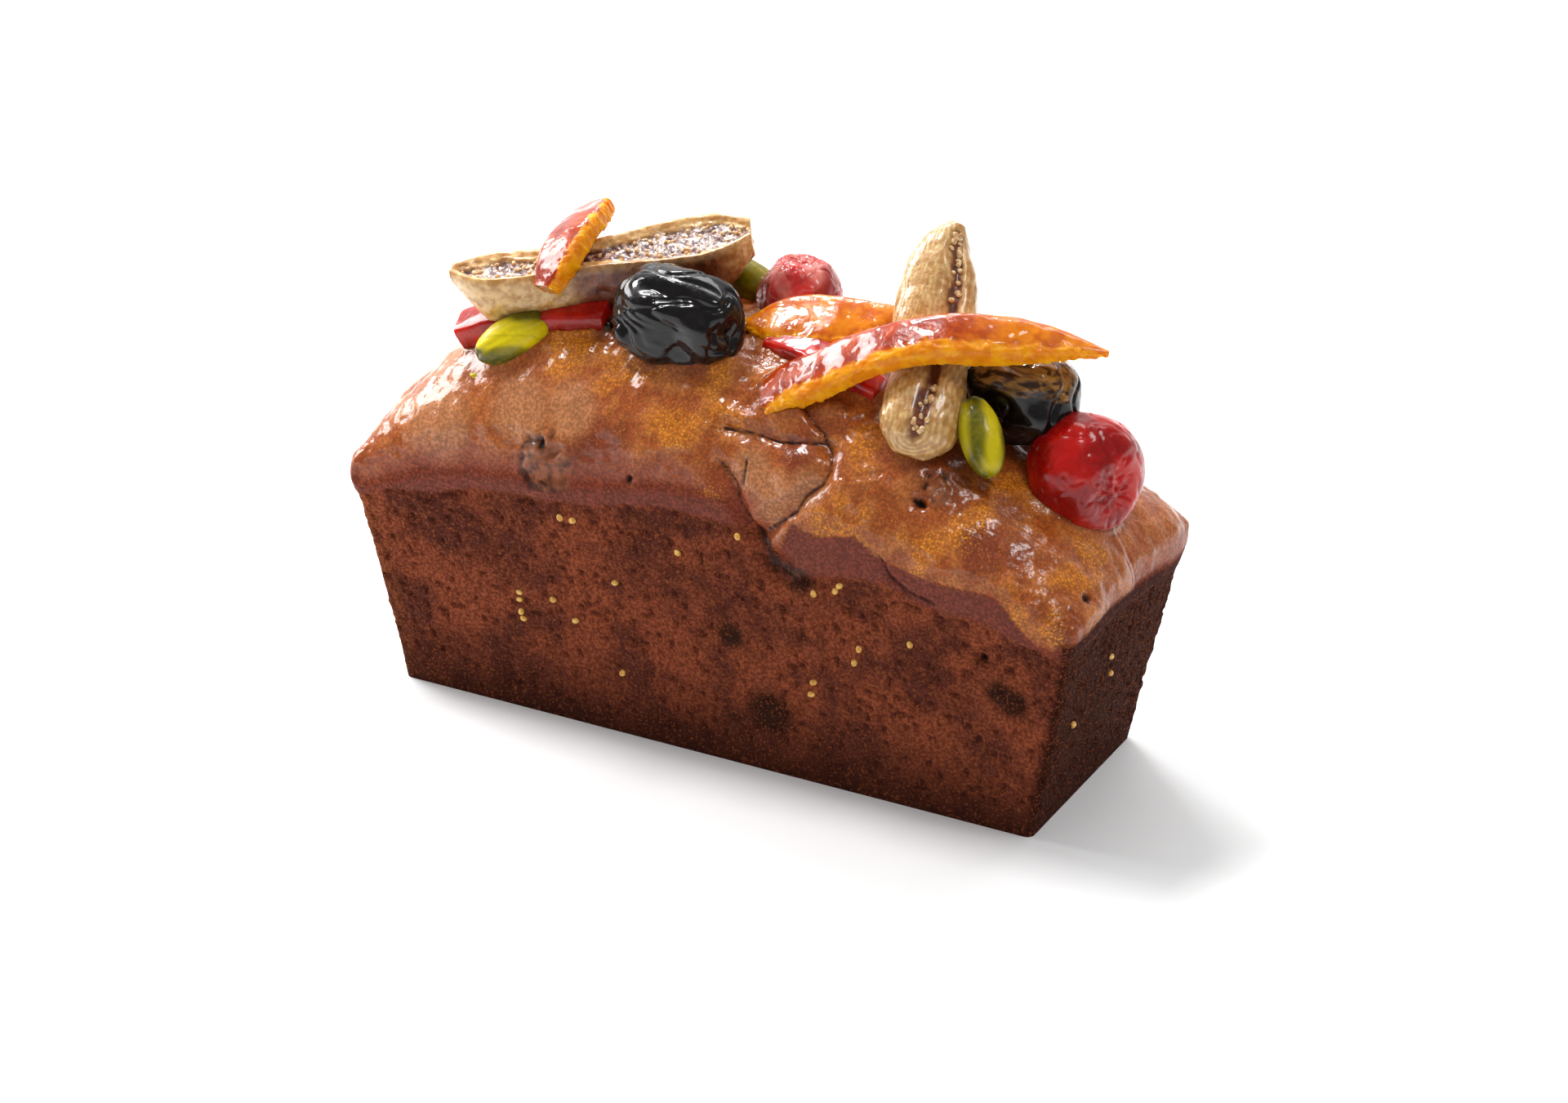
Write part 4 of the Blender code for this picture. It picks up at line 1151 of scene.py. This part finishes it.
def fig_look():
    look = Look("fig")
    mottle = look.ramp(look.noise(1.6, 4.0), 0.35, 0.65)
    skin = look.mix(mottle, tone(188, 136, 66), tone(226, 188, 124))
    skin = look.mix(look.ramp(look.noise(0.6, 3.0), 0.55, 0.75, 0.0, 0.25), skin, tone(128, 82, 48))
    skin = look.mix(look.times(look.mask("lines"), 0.45), skin, tone(158, 104, 54))
    skin = look.mix(look.mask("shade"), skin, look.mix(mottle, tone(98, 46, 22), tone(134, 74, 42)))
    pulp = look.mottle(1.1, 3.0, 0.45, 0.65, tone(84, 40, 38), tone(204, 172, 152))
    pulp = look.mix(look.mask("slit"), pulp, look.mix(mottle, tone(86, 38, 18), tone(132, 66, 30)))
    look.set(Base_Color=look.mix(look.mask("flesh"), skin, pulp))
    look.set(Roughness=look.ramp(look.noise(1.5), 0.3, 0.7, 0.25, 0.5))
    look.set(Normal=look.bump(look.noise(0.8, 4.0), 0.25, 0.8))
    look.set(Coat_Weight=look.ramp(look.mask("shade"), 0.0, 1.0, 0.7, 0.2), Coat_Roughness=0.05)
    look.scatter(0.4, (1.0, 0.6, 0.3), 1.5)
    return look.material


def prune_look():
    look = Look("prune")
    skin = look.mottle(2.0, 3.0, 0.4, 0.7, tone(8, 6, 8), tone(20, 13, 14))
    fibres = look.ramp(look.noise(1.2, 3.0, (0.3, 1, 1)), 0.4, 0.6)
    meat = look.mix(fibres, tone(58, 34, 18), tone(160, 112, 52))
    look.set(Base_Color=look.mix(look.mask("torn"), skin, meat), Specular_IOR_Level=0.1)
    look.set(Roughness=look.ramp(look.noise(1.6), 0.35, 0.7, 0.2, 0.35))
    look.set(Normal=look.bump(look.noise(1.1, 3.0), 0.15, 0.7))
    look.set(Coat_Weight=0.65, Coat_Roughness=0.03)
    look.set(Coat_Normal=look.bump(look.noise(4.5, 1.0), 0.9, 0.6))
    return look.material


def pistachio_look():
    look = Look("pistachio")
    kernel = look.mix(look.mask("green"), tone(226, 206, 10), tone(64, 68, 0))
    fine = look.ramp(look.noise(0.9, 3.0), 0.3, 0.7, 0.0, 0.25)
    look.set(Base_Color=look.mix(fine, kernel, tone(170, 146, 6)), Specular_IOR_Level=0.2)
    look.set(Roughness=look.ramp(look.noise(1.0), 0.3, 0.7, 0.3, 0.5))
    look.set(Normal=look.bump(look.noise(0.6, 3.0), 0.08, 0.7))
    look.set(Coat_Weight=0.3, Coat_Roughness=0.1)
    return look.material


def seed_look(name, dark, bright):
    look = Look(name)
    look.set(Base_Color=look.mottle(0.7, 2.0, 0.4, 0.6, dark, bright))
    look.set(Roughness=look.ramp(look.noise(0.6), 0.3, 0.7, 0.3, 0.45))
    look.set(Normal=look.bump(look.noise(0.4), 0.05, 0.5))
    return look.material


def add_blob(bm, middle, half_sizes, turn, roughness=0.0):
    """A small lumpy grain."""
    grown = bmesh.ops.create_icosphere(bm, subdivisions=3, radius=1.0)
    for vert in grown["verts"]:
        swell = 1.0 + roughness * noise.noise(vert.co * 1.8 + Vector(middle))
        body = Vector([part * half * swell for part, half in zip(vert.co, half_sizes)])
        vert.co = Vector(middle) + turn @ body


def seed_rays():
    """For each fig seed in the walls, as in the solid, a point outside the loaf and the outward way."""
    draw = random.Random(SEED_DRAW)
    rays = [(Vector((x, -BASE_WIDTH, z)), Vector((0, -1, 0))) for x, z in FRONT_SEEDS]
    for _ in range(BACK_SEEDS):
        x = draw.uniform(-BACK_SEED_REACH, BACK_SEED_REACH)
        rays.append((Vector((x, BASE_WIDTH, draw.uniform(*SEED_HEIGHTS))), Vector((0, 1, 0))))
    for side in (-1, 1):
        for _ in range(END_SEEDS):
            y = draw.uniform(-END_SEED_REACH, END_SEED_REACH)
            rays.append((Vector((side * BASE_LENGTH, y, draw.uniform(*SEED_HEIGHTS))), Vector((side, 0, 0))))
    return rays


def make_seeds(loaf_mesh):
    """The fig seeds in the walls, each turned at random in its wall."""
    tree = search_tree(loaf_mesh)
    draw = random.Random(SEED_DRAW)
    bm = bmesh.new()
    for start, outward in seed_rays():
        wall, _, _, _ = tree.ray_cast(start, -outward)
        lean = draw.uniform(0, math.pi)
        long_axis = outward.cross(Vector(UP)) * math.sin(lean) + Vector(UP) * math.cos(lean)
        turn = Vector(UP).rotation_difference(long_axis)
        add_blob(bm, wall + outward * SEED_STAND, (SEED_WIDTH / 2, SEED_WIDTH / 2, SEED_LENGTH / 2), turn)
    return mesh_from(bm, "loaf_seeds")


def make_bits(name, bits, roughness):
    """Small lumps that lie on the loaf's front slope: middles and half sizes."""
    bm = bmesh.new()
    turn = Vector(UP).rotation_difference(Vector(BIT_FACING))
    for middle, half_sizes in bits:
        add_blob(bm, middle, half_sizes, turn, roughness)
    mesh = mesh_from(bm, name)
    for mask_name, value in BIT_MASKS.items():
        set_mask(mesh, mask_name, np.full(len(mesh.vertices), value))
    return mesh


def scatter_fig_seeds(mesh, count, size, draw_number):
    """Small seeds sunk into the flesh of a fig."""
    flesh = np.empty(len(mesh.vertices))
    mesh.attributes["flesh"].data.foreach_get("value", flesh)
    points, normals = get_points(mesh), get_normals(mesh)
    inside = np.where(flesh > 0.8)[0]
    draw = random.Random(draw_number)
    bm = bmesh.new()
    for _ in range(count):
        k = inside[draw.randrange(len(inside))]
        half = size * draw.uniform(0.8, 1.2) / 2
        long_axis = Vector([draw.uniform(-1, 1) for _ in range(3)]).normalized()
        add_blob(bm, Vector(points[k] + normals[k] * FIG_SEED_STAND), (half * 0.85, half * 0.85, half * 1.1),
                 Vector(UP).rotation_difference(long_axis))
    return mesh_from(bm, mesh.name + "_seeds")


def add_floor():
    bpy.ops.mesh.primitive_plane_add(size=FLOOR_SIZE)
    floor = bpy.context.object
    floor.name = "floor"
    look = Look("floor")
    look.set(Base_Color=look.mottle(60, 3.0, 0.3, 0.7, (0.86, 0.86, 0.86), (0.89, 0.89, 0.89)))
    look.set(Roughness=look.ramp(look.noise(20), 0.3, 0.7, 0.55, 0.65))
    look.set(Normal=look.bump(look.noise(1.5), 0.05, 0.2))
    floor.data.materials.append(look.material)


def add_lights():
    for name, place, aim, size, power in LIGHTS:
        light = bpy.data.lights.new(name, "AREA")
        light.shape = "RECTANGLE"
        light.size, light.size_y = size
        light.energy = power
        thing = bpy.data.objects.new(name, light)
        thing.location = place
        thing.rotation_euler = (Vector(aim) - Vector(place)).to_track_quat("-Z", "Y").to_euler()
        bpy.context.scene.collection.objects.link(thing)


def add_world():
    """A white studio, brightest behind the cake and dim in front of it."""
    world = bpy.data.worlds.new("studio")
    bpy.context.scene.world = world
    world.use_nodes = True
    tree = world.node_tree
    direction = tree.nodes.new("ShaderNodeTexCoord").outputs["Generated"]
    facing = tree.nodes.new("ShaderNodeVectorMath")
    facing.operation = "DOT_PRODUCT"
    facing.inputs[1].default_value = Vector(BACKDROP).normalized()
    tree.links.new(direction, facing.inputs[0])
    strength = tree.nodes.new("ShaderNodeMapRange")
    strength.interpolation_type = "SMOOTHSTEP"
    for place, number in zip(("From Min", "From Max", "To Min", "To Max"), (*BACKDROP_EDGE, *BACKDROP_LIGHT)):
        strength.inputs[place].default_value = number
    tree.links.new(facing.outputs["Value"], strength.inputs["Value"])
    background = tree.nodes["Background"]
    background.inputs["Color"].default_value = (1, 1, 1, 1)
    tree.links.new(strength.outputs["Result"], background.inputs["Strength"])


def set_colour_view():
    """Plain screen colours, so that the tones above show as they are."""
    bpy.context.scene.view_settings.view_transform = "Standard"


def add_camera():
    yaw, elevation, roll = (math.radians(angle) for angle in (CAMERA_YAW, CAMERA_ELEVATION, CAMERA_ROLL))
    level = math.cos(elevation)
    back = Vector((math.sin(yaw) * level, -math.cos(yaw) * level, math.sin(elevation)))
    right = Vector((math.cos(yaw), math.sin(yaw), 0))
    up = back.cross(right)
    turned_right = right * math.cos(roll) + up * math.sin(roll)
    turned_up = up * math.cos(roll) - right * math.sin(roll)
    data = bpy.data.cameras.new("camera")
    data.lens = CAMERA_LENS
    data.sensor_width = CAMERA_SENSOR
    camera = bpy.data.objects.new("camera", data)
    matrix = Matrix((turned_right, turned_up, back)).transposed().to_4x4()
    matrix.translation = Vector(CAMERA_PLACE) * MM
    camera.matrix_world = matrix
    bpy.context.scene.collection.objects.link(camera)
    bpy.context.scene.camera = camera


def make_fruit():
    """Each fruit's mesh and slot, by the name of its node."""
    fruit = {}
    for meshes, slot_name in ((make_cherries(), "cherry"), (make_prunes(), "prune"),
                              (make_pistachios(), "pistachio"), (make_figs(), "fig")):
        for name, mesh in meshes.items():
            fruit[name] = (mesh, slot_name)
    bars = make_bars()
    for name, slot_name, *_ in BARS:
        fruit[name] = (bars[name], slot_name)
    return fruit


def make_looks():
    """The material of each slot."""
    cherry = candied_look("cherry", tone(142, 10, 8), tone(190, 18, 12), 7.0, 0.2, (1.0, 0.12, 0.06))
    red_candy = candied_look("red_candy", tone(150, 16, 8), tone(190, 34, 18), 5.0, 0.15, (1.0, 0.15, 0.06))
    return {"cake": cake_look(), "peel": peel_look(), "fig": fig_look(), "prune": prune_look(),
            "pistachio": pistachio_look(), "cherry": cherry, "red_candy": red_candy}


def main():
    looks = make_looks()
    loaf_seed_look = seed_look("seeds", tone(212, 150, 52), tone(240, 194, 100))
    fig_seed_look = seed_look("fig_seeds", tone(196, 142, 84), tone(232, 204, 160))
    fruit = make_fruit()
    loaf = LoafSkin([mesh for mesh, _ in fruit.values()]).mesh
    loaf_seeds = make_seeds(loaf)
    left_seeds = scatter_fig_seeds(fruit["fig_half_left"][0], 90, 0.9, 5)
    slit_seeds = scatter_fig_seeds(fruit["fig_folded_right"][0], 45, 1.2, 6)
    for name, (mesh, slot_name) in fruit.items():
        add_piece(name + "_skin", mesh, looks[slot_name], slot_name, name)
    add_piece("cake_loaf_skin", loaf, looks["cake"], "cake", "cake_loaf")
    add_piece("loaf_seeds", loaf_seeds, loaf_seed_look, "cake")
    add_piece("fig_half_left_seeds", left_seeds, fig_seed_look, "fig")
    add_piece("fig_folded_right_seeds", slit_seeds, fig_seed_look, "fig")
    for name, bits, roughness, slot_name in (("pistachio_crumbs", CRUMBS, 0.4, "pistachio"),
                                             ("sticky_bits", STICKY_BITS, 0.5, "prune")):
        add_piece(name, make_bits(name, bits, roughness), looks[slot_name], slot_name)
    add_floor()
    add_lights()
    add_world()
    add_camera()
    set_colour_view()


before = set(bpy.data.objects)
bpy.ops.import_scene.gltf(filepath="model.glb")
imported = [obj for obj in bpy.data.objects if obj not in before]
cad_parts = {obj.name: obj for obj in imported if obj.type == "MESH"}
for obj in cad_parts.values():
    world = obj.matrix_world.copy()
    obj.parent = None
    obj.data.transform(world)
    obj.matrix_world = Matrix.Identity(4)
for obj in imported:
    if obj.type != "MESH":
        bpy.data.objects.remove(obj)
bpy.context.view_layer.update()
main()
